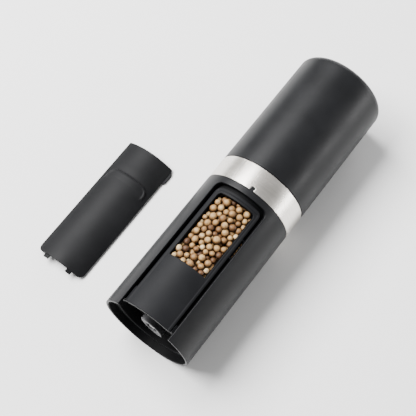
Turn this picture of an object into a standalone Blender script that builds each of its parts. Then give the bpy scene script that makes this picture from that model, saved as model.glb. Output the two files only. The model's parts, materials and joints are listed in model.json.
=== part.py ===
"""Battery pepper mill with a side refill cover, lying on its side with the cover off beside it.

The mill is modelled upright on its open grinding end: Z runs up its axis from the rim, and the
refill window faces -X. The empty "mill_lying" then lays it down by a quarter turn about Y, so that
the axis lies along world X, the window faces up and the frame's origin is under the whole object.
"""

from math import acos, asin, cos, pi, radians, sin, sqrt, tan

import bmesh
import bpy
from mathutils import Matrix

MM = 0.001

# Driving sizes of the outside
BODY_RADIUS = 28.5 * MM
BODY_LENGTH = 193.0 * MM
BAND_BOTTOM = 93.9 * MM
BAND_HEIGHT = 14.7 * MM
SHELL_WALL = 2.2 * MM
END_FILLET = 4.5 * MM
RIM_CHAMFER = 0.4 * MM
RIM_WIDTH = 1.0 * MM
SIDES = 32
INNER_SIDES = 24
SMALL_SIDES = 16
HOLE_SIDES = 8

# Clearances
TOUCH_GAP = 0.3 * MM
RUNNING_GAP = 0.25 * MM
SEAL_GAP = 0.15 * MM
FIT_GAP = 0.3 * MM

# Cover, its seat and the window
COVER_HALF_WIDTH = 16.9 * MM
COVER_THICKNESS = 1.4 * MM
COVER_CORNER = 4.0 * MM
SEAT_TO_BAND = 4.1 * MM
COVER_GRIP_HEIGHT = 20.4 * MM
COVER_SIDE_OFFSET = 75.0 * MM
COVER_SHIFT = 52.3 * MM
TAB_OFFSET = 8.6 * MM
HOOK_BOTTOM = 2.0 * MM
HOOK_LENGTH = 9.5 * MM
HOOK_REACH = 1.2 * MM
HOOK_THICKNESS = 0.8 * MM
WINDOW_HALF_WIDTH = 12.4 * MM
WINDOW_BOTTOM = 38.8 * MM
WINDOW_HEIGHT = 45.5 * MM
PANEL_HEIGHT = 0.8 * MM
PANEL_CORNER = 3.2 * MM
GROOVE_WIDTH = 2.2 * MM
GROOVE_WALL = 1.2 * MM
RELEASE_SLOT = 11.5 * MM
RELEASE_SLOT_BOTTOM = 57.2 * MM
FOOT_HEIGHT = 9.5 * MM
KEY_WIDTH = 1.9 * MM
KEY_HEIGHT = 2.4 * MM
KEY_ANGLE = radians(6.0)

# Chamber and grinding set
CHAMBER_WALL = 2.4 * MM
CHAMBER_BOTTOM = 4.6 * MM
SKIRT_RADIUS = 22.8 * MM
BURR_SEAT_HEIGHT = 13.7 * MM
BURR_RADIUS = 16.9 * MM
BURR_HEIGHT = 11.7 * MM
BURR_TEETH = 18
ROTOR_RADIUS = 13.0 * MM
ROTOR_HEIGHT = 12.6 * MM
ROTOR_TEETH = 12
ROTOR_HUB = 5.2 * MM
ROTOR_POCKET = 5.5 * MM
FUNNEL_HEIGHT = 10.0 * MM
SHAFT_RADIUS = 2.5 * MM
SHAFT_BOTTOM = 5.0 * MM
KNOB_HALF_LENGTH = 9.2 * MM
KNOB_HALF_WIDTH = 4.9 * MM
KNOB_BOTTOM = 4.4 * MM
KNOB_THICKNESS = 5.1 * MM
KNOB_TILT = radians(46.0)
KNOB_BOSS_RADIUS = 5.0 * MM
HUB_RADIUS = 3.6 * MM
BUSH_RADIUS = 6.2 * MM
SCREW_RADIUS = 0.9 * MM
SCREW_HEAD_RADIUS = 1.5 * MM
SCREW_HEAD_HEIGHT = 1.2 * MM
SCREW_GAP = 0.2 * MM

# Drive
NECK_HEIGHT = 22.0 * MM
LEDGE_RADIUS = 19.0 * MM
CASE_BASE = 3.0 * MM
MODULE = 0.8 * MM
SUN_TEETH = 12
PLANET_TEETH = 12
PLANETS = 3
GEAR_WIDTH = 4.0 * MM
GEAR_BACKLASH = 0.16 * MM
PRESSURE_ANGLE = radians(20.0)
TOOTH_TOP = 0.75
TOOTH_ROOT = 1.15
PIN_RADIUS = 1.4 * MM
MOTOR_RADIUS = 12.0 * MM
MOTOR_LENGTH = 28.7 * MM
MOTOR_SHAFT_RADIUS = 1.0 * MM

# Batteries
CELLS = 6
CELL_RADIUS = 5.25 * MM
CELL_LENGTH = 44.5 * MM
CELL_CIRCLE = 20.0 * MM
CELL_SPRING_HEIGHT = 3.0 * MM

# Button
BUTTON_RADIUS = 8.1 * MM
BUTTON_TRAVEL = 2.5 * MM
BUTTON_DISH = 0.3 * MM

# Places worked out from the sizes above
FACET_RADIUS = BODY_RADIUS * cos(pi / SIDES)
RING_TEETH = SUN_TEETH + 2 * PLANET_TEETH
PLANET_CIRCLE = MODULE * (SUN_TEETH + PLANET_TEETH) / 2
SHELL_INNER = BODY_RADIUS - SHELL_WALL
CHAMBER_RADIUS = SHELL_INNER - FIT_GAP
CHAMBER_INNER = CHAMBER_RADIUS - CHAMBER_WALL
SEAT_TOP = BAND_BOTTOM - SEAT_TO_BAND
SEAT_HALF_WIDTH = COVER_HALF_WIDTH + FIT_GAP
COVER_INNER = BODY_RADIUS - COVER_THICKNESS
PANEL_HALF_WIDTH = SEAT_HALF_WIDTH - GROOVE_WIDTH
PANEL_TOP = SEAT_TOP - GROOVE_WIDTH
COVER_LENGTH = SEAT_TOP - 2 * FIT_GAP
COVER_EDGE_DROP = sqrt(COVER_INNER**2 - COVER_HALF_WIDTH**2)
HOUSING_SHOULDER = BAND_BOTTOM - 0.2 * MM
BAND_TOP = BAND_BOTTOM + BAND_HEIGHT
UPPER_BOTTOM = BAND_TOP + 0.4 * MM
SPIGOT_RADIUS = SHELL_INNER - FIT_GAP
SPIGOT_INNER = SPIGOT_RADIUS - 1.8 * MM
CHAMBER_TOP = BAND_BOTTOM - 2.3 * MM
DRIVE_FLOOR = CHAMBER_TOP + 4.7 * MM
BURR_SEAT_TOP = BURR_SEAT_HEIGHT + BURR_HEIGHT + 2 * FIT_GAP
RETAINER_THICKNESS = 2.1 * MM
ROTOR_BOTTOM = KNOB_BOTTOM + KNOB_THICKNESS + 2.9 * MM
ROTOR_TOP = ROTOR_BOTTOM + ROTOR_HEIGHT
COLLAR_BOTTOM = ROTOR_TOP + 4.5 * MM
CASE_FLOOR = DRIVE_FLOOR + FIT_GAP + CASE_BASE
RING_GEAR_RADIUS = MODULE * RING_TEETH / 2 + 2.4 * MM
CASE_INNER = RING_GEAR_RADIUS + FIT_GAP
CASE_OUTER = CASE_INNER + 3.3 * MM
CASE_FLANGE = SPIGOT_INNER - FIT_GAP
CARRIER_RADIUS = PLANET_CIRCLE + 2.8 * MM
CARRIER_THICKNESS = 1.6 * MM
LOW_CARRIER_BOTTOM = CASE_FLOOR + 0.4 * MM
LOW_PLANET_BOTTOM = LOW_CARRIER_BOTTOM + CARRIER_THICKNESS + 0.4 * MM
LOW_PIN_TOP = LOW_PLANET_BOTTOM + GEAR_WIDTH + 0.4 * MM
HIGH_CARRIER_BOTTOM = LOW_PIN_TOP + 0.4 * MM
HIGH_PLANET_BOTTOM = HIGH_CARRIER_BOTTOM + CARRIER_THICKNESS + 0.4 * MM
HIGH_PIN_TOP = HIGH_PLANET_BOTTOM + GEAR_WIDTH + 0.4 * MM
CASE_TOP = HIGH_PIN_TOP + 1.8 * MM
MOTOR_PLATE_THICKNESS = 2.2 * MM
MOTOR_PLATE_BOTTOM = CASE_TOP + TOUCH_GAP
MOTOR_BOTTOM = MOTOR_PLATE_BOTTOM + MOTOR_PLATE_THICKNESS + TOUCH_GAP
HOLDER_BASE = 2.0 * MM
HOLDER_RADIUS = SHELL_INNER - 0.5 * MM
HOLDER_TUBE_INNER = MOTOR_RADIUS + 0.6 * MM
HOLDER_TUBE_OUTER = CELL_CIRCLE - CELL_RADIUS - 0.5 * MM
HOLDER_TOP = MOTOR_BOTTOM + HOLDER_BASE
CELL_BOTTOM = HOLDER_TOP + CELL_SPRING_HEIGHT + 2 * TOUCH_GAP
LID_BOTTOM = CELL_BOTTOM + CELL_LENGTH + 0.4 * MM
LID_THICKNESS = 2.0 * MM
SWITCH_BOTTOM = LID_BOTTOM + LID_THICKNESS + TOUCH_GAP
SWITCH_HEIGHT = 2.8 * MM
SWITCH_TIP = SWITCH_BOTTOM + SWITCH_HEIGHT + 1.4 * MM
STEM_BOTTOM = SWITCH_TIP + TOUCH_GAP + BUTTON_TRAVEL
FLANGE_THICKNESS = 1.5 * MM
GUIDE_BOTTOM = BODY_LENGTH - 6.8 * MM
FLANGE_TOP = GUIDE_BOTTOM - TOUCH_GAP
FLANGE_BOTTOM = FLANGE_TOP - FLANGE_THICKNESS
CAGE_FLOOR = STEM_BOTTOM + 1.6 * MM
BUTTON_GUIDE_INNER = BUTTON_RADIUS + FIT_GAP
BUTTON_GUIDE_OUTER = BUTTON_GUIDE_INNER + 1.6 * MM
CASE_FIXING_CIRCLE = (CASE_OUTER + CASE_FLANGE) / 2
HOLDER_SCREW_DEPTH = 4.0 * MM
HOLDER_FIXING_CIRCLE = (CASE_INNER + CASE_OUTER) / 2
RETAINER_FIXING_CIRCLE = (BURR_RADIUS + SKIRT_RADIUS) / 2

# Colour (linear), metallic, roughness
BLACK_PLASTIC = ((0.032, 0.033, 0.035), 0.0, 0.5)
GREY_PLASTIC = ((0.14, 0.14, 0.145), 0.0, 0.45)
GREY_ZINC = ((0.14, 0.14, 0.145), 0.3, 0.45)
WHITE_PLASTIC = ((0.75, 0.74, 0.70), 0.0, 0.4)
STEEL = ((0.66, 0.63, 0.59), 1.0, 0.28)
DARK_STEEL = ((0.35, 0.35, 0.36), 1.0, 0.35)
CERAMIC = ((0.075, 0.075, 0.08), 0.0, 0.45)
RUBBER = ((0.02, 0.02, 0.02), 0.0, 0.8)
BRASS = ((0.72, 0.52, 0.22), 1.0, 0.3)
CELL_JACKET = ((0.30, 0.31, 0.33), 0.4, 0.35)


def clear_scene():
    for obj in list(bpy.data.objects):
        bpy.data.objects.remove(obj, do_unlink=True)


def collection(name):
    made = bpy.data.collections.new(name)
    bpy.context.scene.collection.children.link(made)
    return made


class Workshop:
    """Where finished pieces and the hidden tools that cut or join them are kept."""

    def __init__(self):
        self.pieces = collection("pepper_mill")
        self.tools = collection("tools")
        self.lying = bpy.data.objects.new("mill_lying", None)
        self.pieces.objects.link(self.lying)
        reach = COVER_SIDE_OFFSET + COVER_HALF_WIDTH + FACET_RADIUS
        self.lying.location = (-BODY_LENGTH / 2, FACET_RADIUS - reach / 2, FACET_RADIUS)
        self.lying.rotation_euler = (0.0, pi / 2, 0.0)
        self.parent = self.lying

    def keep(self, obj, look):
        """Files a finished piece with its own material."""
        self.pieces.objects.link(obj)
        obj.parent = self.parent
        colour, metallic, roughness = look
        material = bpy.data.materials.new(obj.name + "_finish")
        material.use_nodes = True
        shader = material.node_tree.nodes["Principled BSDF"]
        shader.inputs["Base Color"].default_value = (*colour, 1.0)
        shader.inputs["Metallic"].default_value = metallic
        shader.inputs["Roughness"].default_value = roughness
        material.diffuse_color = (*colour, 1.0)
        obj.data.materials.append(material)
        return obj

    def tool(self, obj):
        """Files a shape that only cuts or joins."""
        self.tools.objects.link(obj)
        obj.parent = self.parent
        obj.hide_render = True
        obj.display_type = "WIRE"
        return obj


def clockwise(profile):
    """The profile in the order that turns into an outward-facing solid."""
    area = 0.0
    for (r0, z0), (r1, z1) in zip(profile, profile[1:] + profile[:1]):
        area += r0 * z1 - r1 * z0
    return profile[::-1] if area > 0 else profile


def turned(name, profile, sides=SIDES):
    """A profile of (radius, height) points turned about Z; a flat side faces -X and +X."""
    points = clockwise(profile)
    start = pi / sides
    verts = [(r * cos(start), r * sin(start), z) for r, z in points]
    count = len(points)
    edges = [(i, i + 1) for i in range(count - 1)]
    if min(r for r, _ in points) > 0.0:
        edges.append((count - 1, 0))
    mesh = bpy.data.meshes.new(name)
    mesh.from_pydata(verts, edges, [])
    obj = bpy.data.objects.new(name, mesh)
    screw = obj.modifiers.new("turn", "SCREW")
    screw.axis = "Z"
    screw.angle = 2 * pi
    screw.steps = sides
    screw.render_steps = sides
    screw.use_merge_vertices = True
    screw.merge_threshold = 0.00001
    screw.use_smooth_shade = False
    return obj


def rod_profile(radius, bottom, top, chamfer=0.0):
    if chamfer == 0.0:
        return [(0.0, top), (radius, top), (radius, bottom), (0.0, bottom)]
    return [
        (0.0, top),
        (radius - chamfer, top),
        (radius, top - chamfer),
        (radius, bottom + chamfer),
        (radius - chamfer, bottom),
        (0.0, bottom),
    ]


def tube_profile(outer, inner, bottom, top):
    return [(outer, top), (outer, bottom), (inner, bottom), (inner, top)]


def box(name, low, high, round_edges=0.0, axis=0):
    """A block between two corners, its edges along the axis rounded."""
    bm = bmesh.new()
    bmesh.ops.create_cube(bm, size=1.0)
    size = [h - l for l, h in zip(low, high)]
    middle = [(h + l) / 2 for l, h in zip(low, high)]
    bmesh.ops.scale(bm, vec=size, verts=bm.verts)
    bmesh.ops.translate(bm, vec=middle, verts=bm.verts)
    if round_edges > 0.0:
        along = [e for e in bm.edges if abs((e.verts[0].co - e.verts[1].co)[axis]) > size[axis] / 2]
        bmesh.ops.bevel(bm, geom=along, offset=round_edges, segments=3, profile=0.5, affect="EDGES")
    mesh = bpy.data.meshes.new(name)
    bm.to_mesh(mesh)
    bm.free()
    return bpy.data.objects.new(name, mesh)


def extruded(name, outlines, bottom, top):
    """Closed flat outlines (the first outside, the others holes) given a height."""
    curve = bpy.data.curves.new(name, "CURVE")
    curve.dimensions = "2D"
    curve.fill_mode = "BOTH"
    curve.extrude = (top - bottom) / 2
    for outline in outlines:
        spline = curve.splines.new("POLY")
        spline.points.add(len(outline) - 1)
        for point, (x, y) in zip(spline.points, outline):
            point.co = (x, y, 0.0, 1.0)
        spline.use_cyclic_u = True
    obj = bpy.data.objects.new(name, curve)
    obj.location.z = (bottom + top) / 2
    return obj


def wire(name, points, radius, detail=2):
    """A round wire along a list of points."""
    curve = bpy.data.curves.new(name, "CURVE")
    curve.dimensions = "3D"
    curve.bevel_depth = radius
    curve.bevel_resolution = detail
    curve.use_fill_caps = True
    spline = curve.splines.new("POLY")
    spline.points.add(len(points) - 1)
    for point, place in zip(spline.points, points):
        point.co = (*place, 1.0)
    return bpy.data.objects.new(name, curve)


def as_mesh(obj):
    """A copy of a curve object as a closed mesh, for use as a Boolean tool."""
    mesh = bpy.data.meshes.new_from_object(obj)
    bm = bmesh.new()
    bm.from_mesh(mesh)
    bmesh.ops.remove_doubles(bm, verts=bm.verts, dist=0.000001)
    bmesh.ops.recalc_face_normals(bm, faces=bm.faces)
    bm.to_mesh(mesh)
    bm.free()
    name = obj.name
    place = obj.location.copy()
    bpy.data.objects.remove(obj, do_unlink=True)
    made = bpy.data.objects.new(name, mesh)
    made.location = place
    return made


def lofted_ring(name, rings):
    """A ring-shaped solid through rings of points; the last ring closes onto the first."""
    bm = bmesh.new()
    rows = [[bm.verts.new(point) for point in ring] for ring in rings]
    for row, following in zip(rows, rows[1:] + rows[:1]):
        for i in range(len(row)):
            j = (i + 1) % len(row)
            bm.faces.new((row[i], row[j], following[j], following[i]))
    bmesh.ops.recalc_face_normals(bm, faces=bm.faces)
    mesh = bpy.data.meshes.new(name)
    bm.to_mesh(mesh)
    bm.free()
    return bpy.data.objects.new(name, mesh)


def combine(target, tool, operation):
    boolean = target.modifiers.new(operation.lower(), "BOOLEAN")
    boolean.operation = operation
    boolean.solver = "EXACT"
    boolean.object = tool


def cut(target, tool):
    combine(target, tool, "DIFFERENCE")


def join(target, tool):
    combine(target, tool, "UNION")


def around(count, radius, first=0.0):
    """Places evenly spaced on a circle about the axis, as (angle, x, y)."""
    angles = [first + 2 * pi * k / count for k in range(count)]
    return [(a, radius * cos(a), radius * sin(a)) for a in angles]


def drill(shop, target, places, bottom, top):
    """Screw holes through a target at each (angle, x, y)."""
    for _, x, y in places:
        profile = rod_profile(SCREW_RADIUS + SCREW_GAP, bottom, top)
        hole = turned(f"{target.name}_hole", profile, HOLE_SIDES)
        hole.location = (x, y, 0.0)
        cut(target, shop.tool(hole))


def cap_screws(shop, name, places, seat, tip):
    """Screws along Z whose heads stand on the seat and whose shanks reach the tip."""
    up = 1.0 if seat > tip else -1.0
    under = seat + up * TOUCH_GAP
    for index, (_, x, y) in enumerate(places, start=1):
        profile = [
            (0.0, under + up * SCREW_HEAD_HEIGHT),
            (SCREW_HEAD_RADIUS, under + up * SCREW_HEAD_HEIGHT),
            (SCREW_HEAD_RADIUS, under),
            (SCREW_RADIUS, under),
            (SCREW_RADIUS, tip),
            (0.0, tip),
        ]
        screw = turned(f"{name}_{index}", profile, HOLE_SIDES)
        screw.location = (x, y, 0.0)
        shop.keep(screw, STEEL)


def coil_points(radius, bottom, top, turns, per_turn):
    """A compression coil with closed end turns."""
    total = int(turns * per_turn)
    points = []
    for k in range(total + 1):
        share = k / total
        rise = min(max((share * turns - 0.75) / (turns - 1.5), 0.0), 1.0)
        angle = 2 * pi * k / per_turn
        points.append((radius * cos(angle), radius * sin(angle), bottom + (top - bottom) * rise))
    return points


def involute(angle):
    return tan(angle) - angle


def tooth_outline(teeth, tip, root, backlash, first):
    """The outline of a gear, or of the hole in a ring gear where the backlash is negative."""
    pitch = MODULE * teeth / 2
    base = pitch * cos(PRESSURE_ANGLE)
    half = pi / (2 * teeth) - backlash / (2 * pitch) + involute(PRESSURE_ANGLE)
    inner = max(root, base)
    flank = [root, inner + (tip - inner) * 0.4, tip] if root < base else [root, tip]
    points = []
    for k in range(teeth):
        middle = first + 2 * pi * k / teeth
        rise = [(r, half - involute(acos(min(1.0, base / r)))) for r in flank]
        points += [(r * cos(middle - a), r * sin(middle - a)) for r, a in rise]
        points += [(r * cos(middle + a), r * sin(middle + a)) for r, a in reversed(rise)]
    return points


def circle(radius, count):
    return [(x, y) for _, x, y in around(count, radius)]


def gear_outline(teeth, first=0.0):
    pitch = MODULE * teeth / 2
    tip = pitch + TOOTH_TOP * MODULE
    return tooth_outline(teeth, tip, pitch - TOOTH_ROOT * MODULE, GEAR_BACKLASH, first)


def lower_housing(shop):
    """Outer shell of the lower half, with the cover's seat, the neck and the key."""
    profile = [
        (SPIGOT_RADIUS, BAND_BOTTOM + NECK_HEIGHT),
        (SPIGOT_RADIUS, BAND_TOP + 5.0 * MM),
        (SPIGOT_RADIUS - 1.05 * MM, BAND_TOP + 5.0 * MM),
        (SPIGOT_RADIUS - 1.05 * MM, BAND_TOP + 3.2 * MM),
        (SPIGOT_RADIUS, BAND_TOP + 3.2 * MM),
        (SPIGOT_RADIUS, BAND_TOP + 0.3 * MM),
        (BODY_RADIUS - 1.1 * MM, BAND_TOP + 0.3 * MM),
        (BODY_RADIUS - 1.1 * MM, HOUSING_SHOULDER),
        (BODY_RADIUS, HOUSING_SHOULDER),
        (BODY_RADIUS, RIM_CHAMFER),
        (BODY_RADIUS - RIM_CHAMFER, 0.0),
        (BODY_RADIUS - RIM_CHAMFER - RIM_WIDTH, 0.0),
        (SHELL_INNER, 1.6 * MM),
        (SHELL_INNER, CHAMBER_TOP + TOUCH_GAP),
        (LEDGE_RADIUS, CHAMBER_TOP + TOUCH_GAP),
        (LEDGE_RADIUS, DRIVE_FLOOR),
        (SPIGOT_INNER, DRIVE_FLOOR),
        (SPIGOT_INNER, BAND_BOTTOM + NECK_HEIGHT),
    ]
    body = turned("lower_housing", profile)
    seat = box(
        "cover_seat",
        (-2 * BODY_RADIUS, -SEAT_HALF_WIDTH, -BODY_RADIUS),
        (-BODY_RADIUS / 3, SEAT_HALF_WIDTH, SEAT_TOP),
        COVER_CORNER,
    )
    cut(body, shop.tool(seat))
    catch = box(
        "hook_slot",
        (-2 * BODY_RADIUS, SEAT_HALF_WIDTH - 1.0 * MM, HOOK_BOTTOM - FIT_GAP),
        (
            -COVER_EDGE_DROP + FIT_GAP,
            COVER_HALF_WIDTH + HOOK_REACH + FIT_GAP,
            HOOK_BOTTOM + HOOK_LENGTH + FIT_GAP,
        ),
    )
    cut(body, shop.tool(catch))
    key = box(
        "band_key_tool",
        (-BODY_RADIUS + 0.15 * MM, -KEY_WIDTH / 2, HOUSING_SHOULDER - 0.5 * MM),
        (-BODY_RADIUS + 1.6 * MM, KEY_WIDTH / 2, HOUSING_SHOULDER + KEY_HEIGHT),
    )
    key.rotation_euler.z = KEY_ANGLE
    join(body, shop.tool(key))
    fixings = around(3, CASE_FIXING_CIRCLE)
    drill(shop, body, fixings, CHAMBER_TOP - 1.0 * MM, DRIVE_FLOOR + 1.0 * MM)
    shop.keep(body, BLACK_PLASTIC)


def grain_chamber(shop):
    """Inner tube that holds the peppercorns, with the window, the funnel and the burr seat."""
    throat = BURR_RADIUS - 2.1 * MM
    bore = BURR_RADIUS + FIT_GAP
    profile = [
        (CHAMBER_RADIUS, CHAMBER_TOP),
        (CHAMBER_RADIUS, CHAMBER_BOTTOM),
        (SKIRT_RADIUS, CHAMBER_BOTTOM),
        (SKIRT_RADIUS, BURR_SEAT_HEIGHT),
        (bore, BURR_SEAT_HEIGHT),
        (bore, BURR_SEAT_TOP),
        (throat, BURR_SEAT_TOP),
        (throat, BURR_SEAT_TOP + 1.0 * MM),
        (CHAMBER_INNER, BURR_SEAT_TOP + FUNNEL_HEIGHT),
        (CHAMBER_INNER, CHAMBER_TOP),
    ]
    body = turned("grain_chamber", profile)
    panel = turned(
        "panel_ring",
        tube_profile(CHAMBER_RADIUS + PANEL_HEIGHT, CHAMBER_INNER + 0.4 * MM, CHAMBER_BOTTOM, PANEL_TOP),
    )
    near = -BODY_RADIUS / 2
    outline = box(
        "panel_outline",
        (-2 * BODY_RADIUS, -PANEL_HALF_WIDTH, -BODY_RADIUS),
        (near, PANEL_HALF_WIDTH, PANEL_TOP - 0.01 * MM),
        PANEL_CORNER,
    )
    combine(shop.tool(panel), shop.tool(outline), "INTERSECT")
    join(body, panel)
    window = box(
        "window",
        (-2 * BODY_RADIUS, -WINDOW_HALF_WIDTH, WINDOW_BOTTOM),
        (near, WINDOW_HALF_WIDTH, WINDOW_BOTTOM + WINDOW_HEIGHT),
        1.2 * MM,
    )
    cut(body, shop.tool(window))
    floor = sqrt(CHAMBER_INNER**2 - PANEL_HALF_WIDTH**2) + GROOVE_WALL
    for name, low_side, start in (
        ("far_groove", PANEL_HALF_WIDTH, 0.0),
        ("near_groove", -PANEL_HALF_WIDTH - GROOVE_WIDTH, FOOT_HEIGHT),
    ):
        groove = box(
            name,
            (-2 * BODY_RADIUS, low_side, start),
            (-floor, low_side + GROOVE_WIDTH, SEAT_TOP - COVER_CORNER),
        )
        cut(body, shop.tool(groove))
    slot = box(
        "release_slot",
        (-2 * BODY_RADIUS, -PANEL_HALF_WIDTH - 1.6 * MM, RELEASE_SLOT_BOTTOM),
        (near, -PANEL_HALF_WIDTH - 0.3 * MM, RELEASE_SLOT_BOTTOM + RELEASE_SLOT),
    )
    cut(body, shop.tool(slot))
    fixings = around(3, RETAINER_FIXING_CIRCLE)
    drill(shop, body, fixings, BURR_SEAT_HEIGHT - 1.0 * MM, BURR_SEAT_TOP)
    shop.keep(body, BLACK_PLASTIC)


def refill_cover(shop):
    """Curved cover, made as it seats in the lower housing and then laid on the floor."""
    laid = bpy.data.objects.new("cover_laid", None)
    shop.pieces.objects.link(laid)
    laid.parent = shop.lying
    middle = FIT_GAP + COVER_LENGTH / 2
    laid.matrix_local = (
        Matrix.Translation((FACET_RADIUS + COVER_EDGE_DROP, COVER_SIDE_OFFSET, COVER_SHIFT + middle))
        @ Matrix.Rotation(pi, 4, "X")
    )
    shop.parent = laid
    bottom = FIT_GAP
    top = FIT_GAP + COVER_LENGTH
    body = turned("refill_cover", tube_profile(BODY_RADIUS, COVER_INNER, bottom, top))
    outline = box(
        "cover_outline",
        (-2 * BODY_RADIUS, -COVER_HALF_WIDTH, -BODY_RADIUS),
        (-BODY_RADIUS / 3, COVER_HALF_WIDTH, top - 0.01 * MM),
        COVER_CORNER,
    )
    combine(body, shop.tool(outline), "INTERSECT")
    half = 0.5 * BODY_RADIUS
    points = []
    for k in range(17):
        share = k / 8 - 1
        y = half * share
        x = -sqrt(BODY_RADIUS**2 - y**2) + 0.15 * MM
        points.append((x, y, COVER_GRIP_HEIGHT + 2.8 * MM * abs(share) ** 3))
    grip = as_mesh(wire("grip_ridge", points, 0.75 * MM))
    join(body, shop.tool(grip))
    hook = box(
        "snap_hook",
        (-COVER_EDGE_DROP - HOOK_THICKNESS, COVER_HALF_WIDTH - 1.5 * MM, HOOK_BOTTOM),
        (-COVER_EDGE_DROP - 0.05 * MM, COVER_HALF_WIDTH + HOOK_REACH, HOOK_BOTTOM + HOOK_LENGTH),
    )
    join(body, shop.tool(hook))
    for name, centre in (("near_tab", -TAB_OFFSET), ("far_tab", TAB_OFFSET)):
        radial = sqrt(COVER_INNER**2 - centre**2)
        tab = box(
            name,
            (-radial - 0.7 * MM, centre - 1.9 * MM, top - 3.0 * MM),
            (-radial + 0.9 * MM, centre + 1.9 * MM, top + 2.0 * MM),
            0.4 * MM,
        )
        join(body, shop.tool(tab))
    shop.keep(body, BLACK_PLASTIC)
    shop.parent = shop.lying


def steel_band(shop):
    """Stainless ring between the two halves, notched over the housing's key."""
    outer = BODY_RADIUS - 0.05 * MM
    edge = 0.25 * MM
    profile = [
        (outer - edge, BAND_TOP),
        (outer, BAND_TOP - edge),
        (outer, BAND_BOTTOM + edge),
        (outer - edge, BAND_BOTTOM),
        (BODY_RADIUS - 0.8 * MM, BAND_BOTTOM),
        (BODY_RADIUS - 0.8 * MM, BAND_TOP),
    ]
    band = turned("steel_band", profile)
    notch = box(
        "band_notch",
        (-2 * BODY_RADIUS, -KEY_WIDTH / 2 - FIT_GAP, BAND_BOTTOM - 1.0 * MM),
        (-BODY_RADIUS / 2, KEY_WIDTH / 2 + FIT_GAP, HOUSING_SHOULDER + KEY_HEIGHT + FIT_GAP),
    )
    notch.rotation_euler.z = KEY_ANGLE
    cut(band, shop.tool(notch))
    shop.keep(band, STEEL)


def neck_seal(shop):
    """O-ring in the groove of the neck."""
    low = BAND_TOP + 3.2 * MM
    high = BAND_TOP + 5.0 * MM
    inner = SPIGOT_RADIUS - 1.05 * MM + SEAL_GAP
    outer = SHELL_INNER - SEAL_GAP
    radius = (outer - inner) / 2
    height = (low + high) / 2
    middle = inner + radius
    profile = [(middle + radius * cos(a), height + 0.9 * radius * sin(a)) for a, _, _ in around(5, 1.0)]
    shop.keep(turned("neck_seal", profile), RUBBER)


def toothed_ring(radius, height, teeth, depth, per_tooth=4, twist=0.0):
    """A ring of points whose radius dips once for each tooth."""
    points = []
    for k in range(teeth * per_tooth):
        angle = 2 * pi * k / (teeth * per_tooth) + twist
        reach = radius + depth * (1.0 if k % per_tooth < per_tooth / 2 else 0.0)
        points.append((reach * cos(angle), reach * sin(angle), height))
    return points


def grinding_set(shop):
    """Ceramic burrs, the ring that holds the outer one, and its screws."""
    low = BURR_SEAT_HEIGHT + FIT_GAP
    high = low + BURR_HEIGHT
    depth = 0.9 * MM
    stator_low = ROTOR_RADIUS + depth + 0.9 * MM
    stator_high = BURR_RADIUS - 3.4 * MM
    rings = [
        toothed_ring(BURR_RADIUS, low, BURR_TEETH, 0.0),
        toothed_ring(BURR_RADIUS, high, BURR_TEETH, 0.0),
        toothed_ring(stator_high, high, BURR_TEETH, depth, twist=0.12),
        toothed_ring(stator_low - depth, low, BURR_TEETH, depth),
    ]
    shop.keep(lofted_ring("outer_burr", rings), CERAMIC)

    rotor_high = 8.0 * MM
    bore = SHAFT_RADIUS + RUNNING_GAP
    rings = [
        toothed_ring(ROTOR_HUB, ROTOR_BOTTOM, ROTOR_TEETH, 0.0),
        toothed_ring(ROTOR_HUB, ROTOR_BOTTOM + ROTOR_POCKET, ROTOR_TEETH, 0.0),
        toothed_ring(ROTOR_RADIUS - 4.5 * MM, ROTOR_BOTTOM + ROTOR_POCKET, ROTOR_TEETH, 0.0),
        toothed_ring(ROTOR_RADIUS - 3.2 * MM, ROTOR_BOTTOM, ROTOR_TEETH, 0.0),
        toothed_ring(ROTOR_RADIUS - depth, ROTOR_BOTTOM, ROTOR_TEETH, 0.0),
        toothed_ring(ROTOR_RADIUS - depth, ROTOR_BOTTOM + 2.0 * MM, ROTOR_TEETH, depth),
        toothed_ring(rotor_high, ROTOR_TOP, ROTOR_TEETH, depth, twist=0.3),
        toothed_ring(bore, ROTOR_TOP, ROTOR_TEETH, 0.0),
        toothed_ring(bore, ROTOR_BOTTOM, ROTOR_TEETH, 0.0),
    ]
    shop.keep(lofted_ring("inner_burr", rings), CERAMIC)

    top = BURR_SEAT_HEIGHT - FIT_GAP
    bottom = top - RETAINER_THICKNESS
    inner = ROTOR_RADIUS + 1.4 * MM
    profile = tube_profile(SKIRT_RADIUS - 0.4 * MM, inner, bottom, top)
    ring = turned("burr_retainer", profile, INNER_SIDES)
    fixings = around(3, RETAINER_FIXING_CIRCLE)
    drill(shop, ring, fixings, bottom - 1.0 * MM, top + 1.0 * MM)
    shop.keep(ring, BLACK_PLASTIC)
    cap_screws(shop, "retainer_screw", fixings, bottom, BURR_SEAT_TOP - 5.0 * MM)


def lens_outline(half_length, half_width, count=7):
    """A pointed oval: two arcs that meet at blunt tips."""
    radius = (half_length**2 + half_width**2) / (2 * half_width)
    reach = asin(half_length / radius) * 0.96
    upper = []
    for k in range(count + 1):
        angle = reach * (1 - 2 * k / count)
        upper.append((radius * sin(angle), radius * cos(angle) - radius + half_width))
    return upper + [(-x, -y) for x, y in upper]


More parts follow.
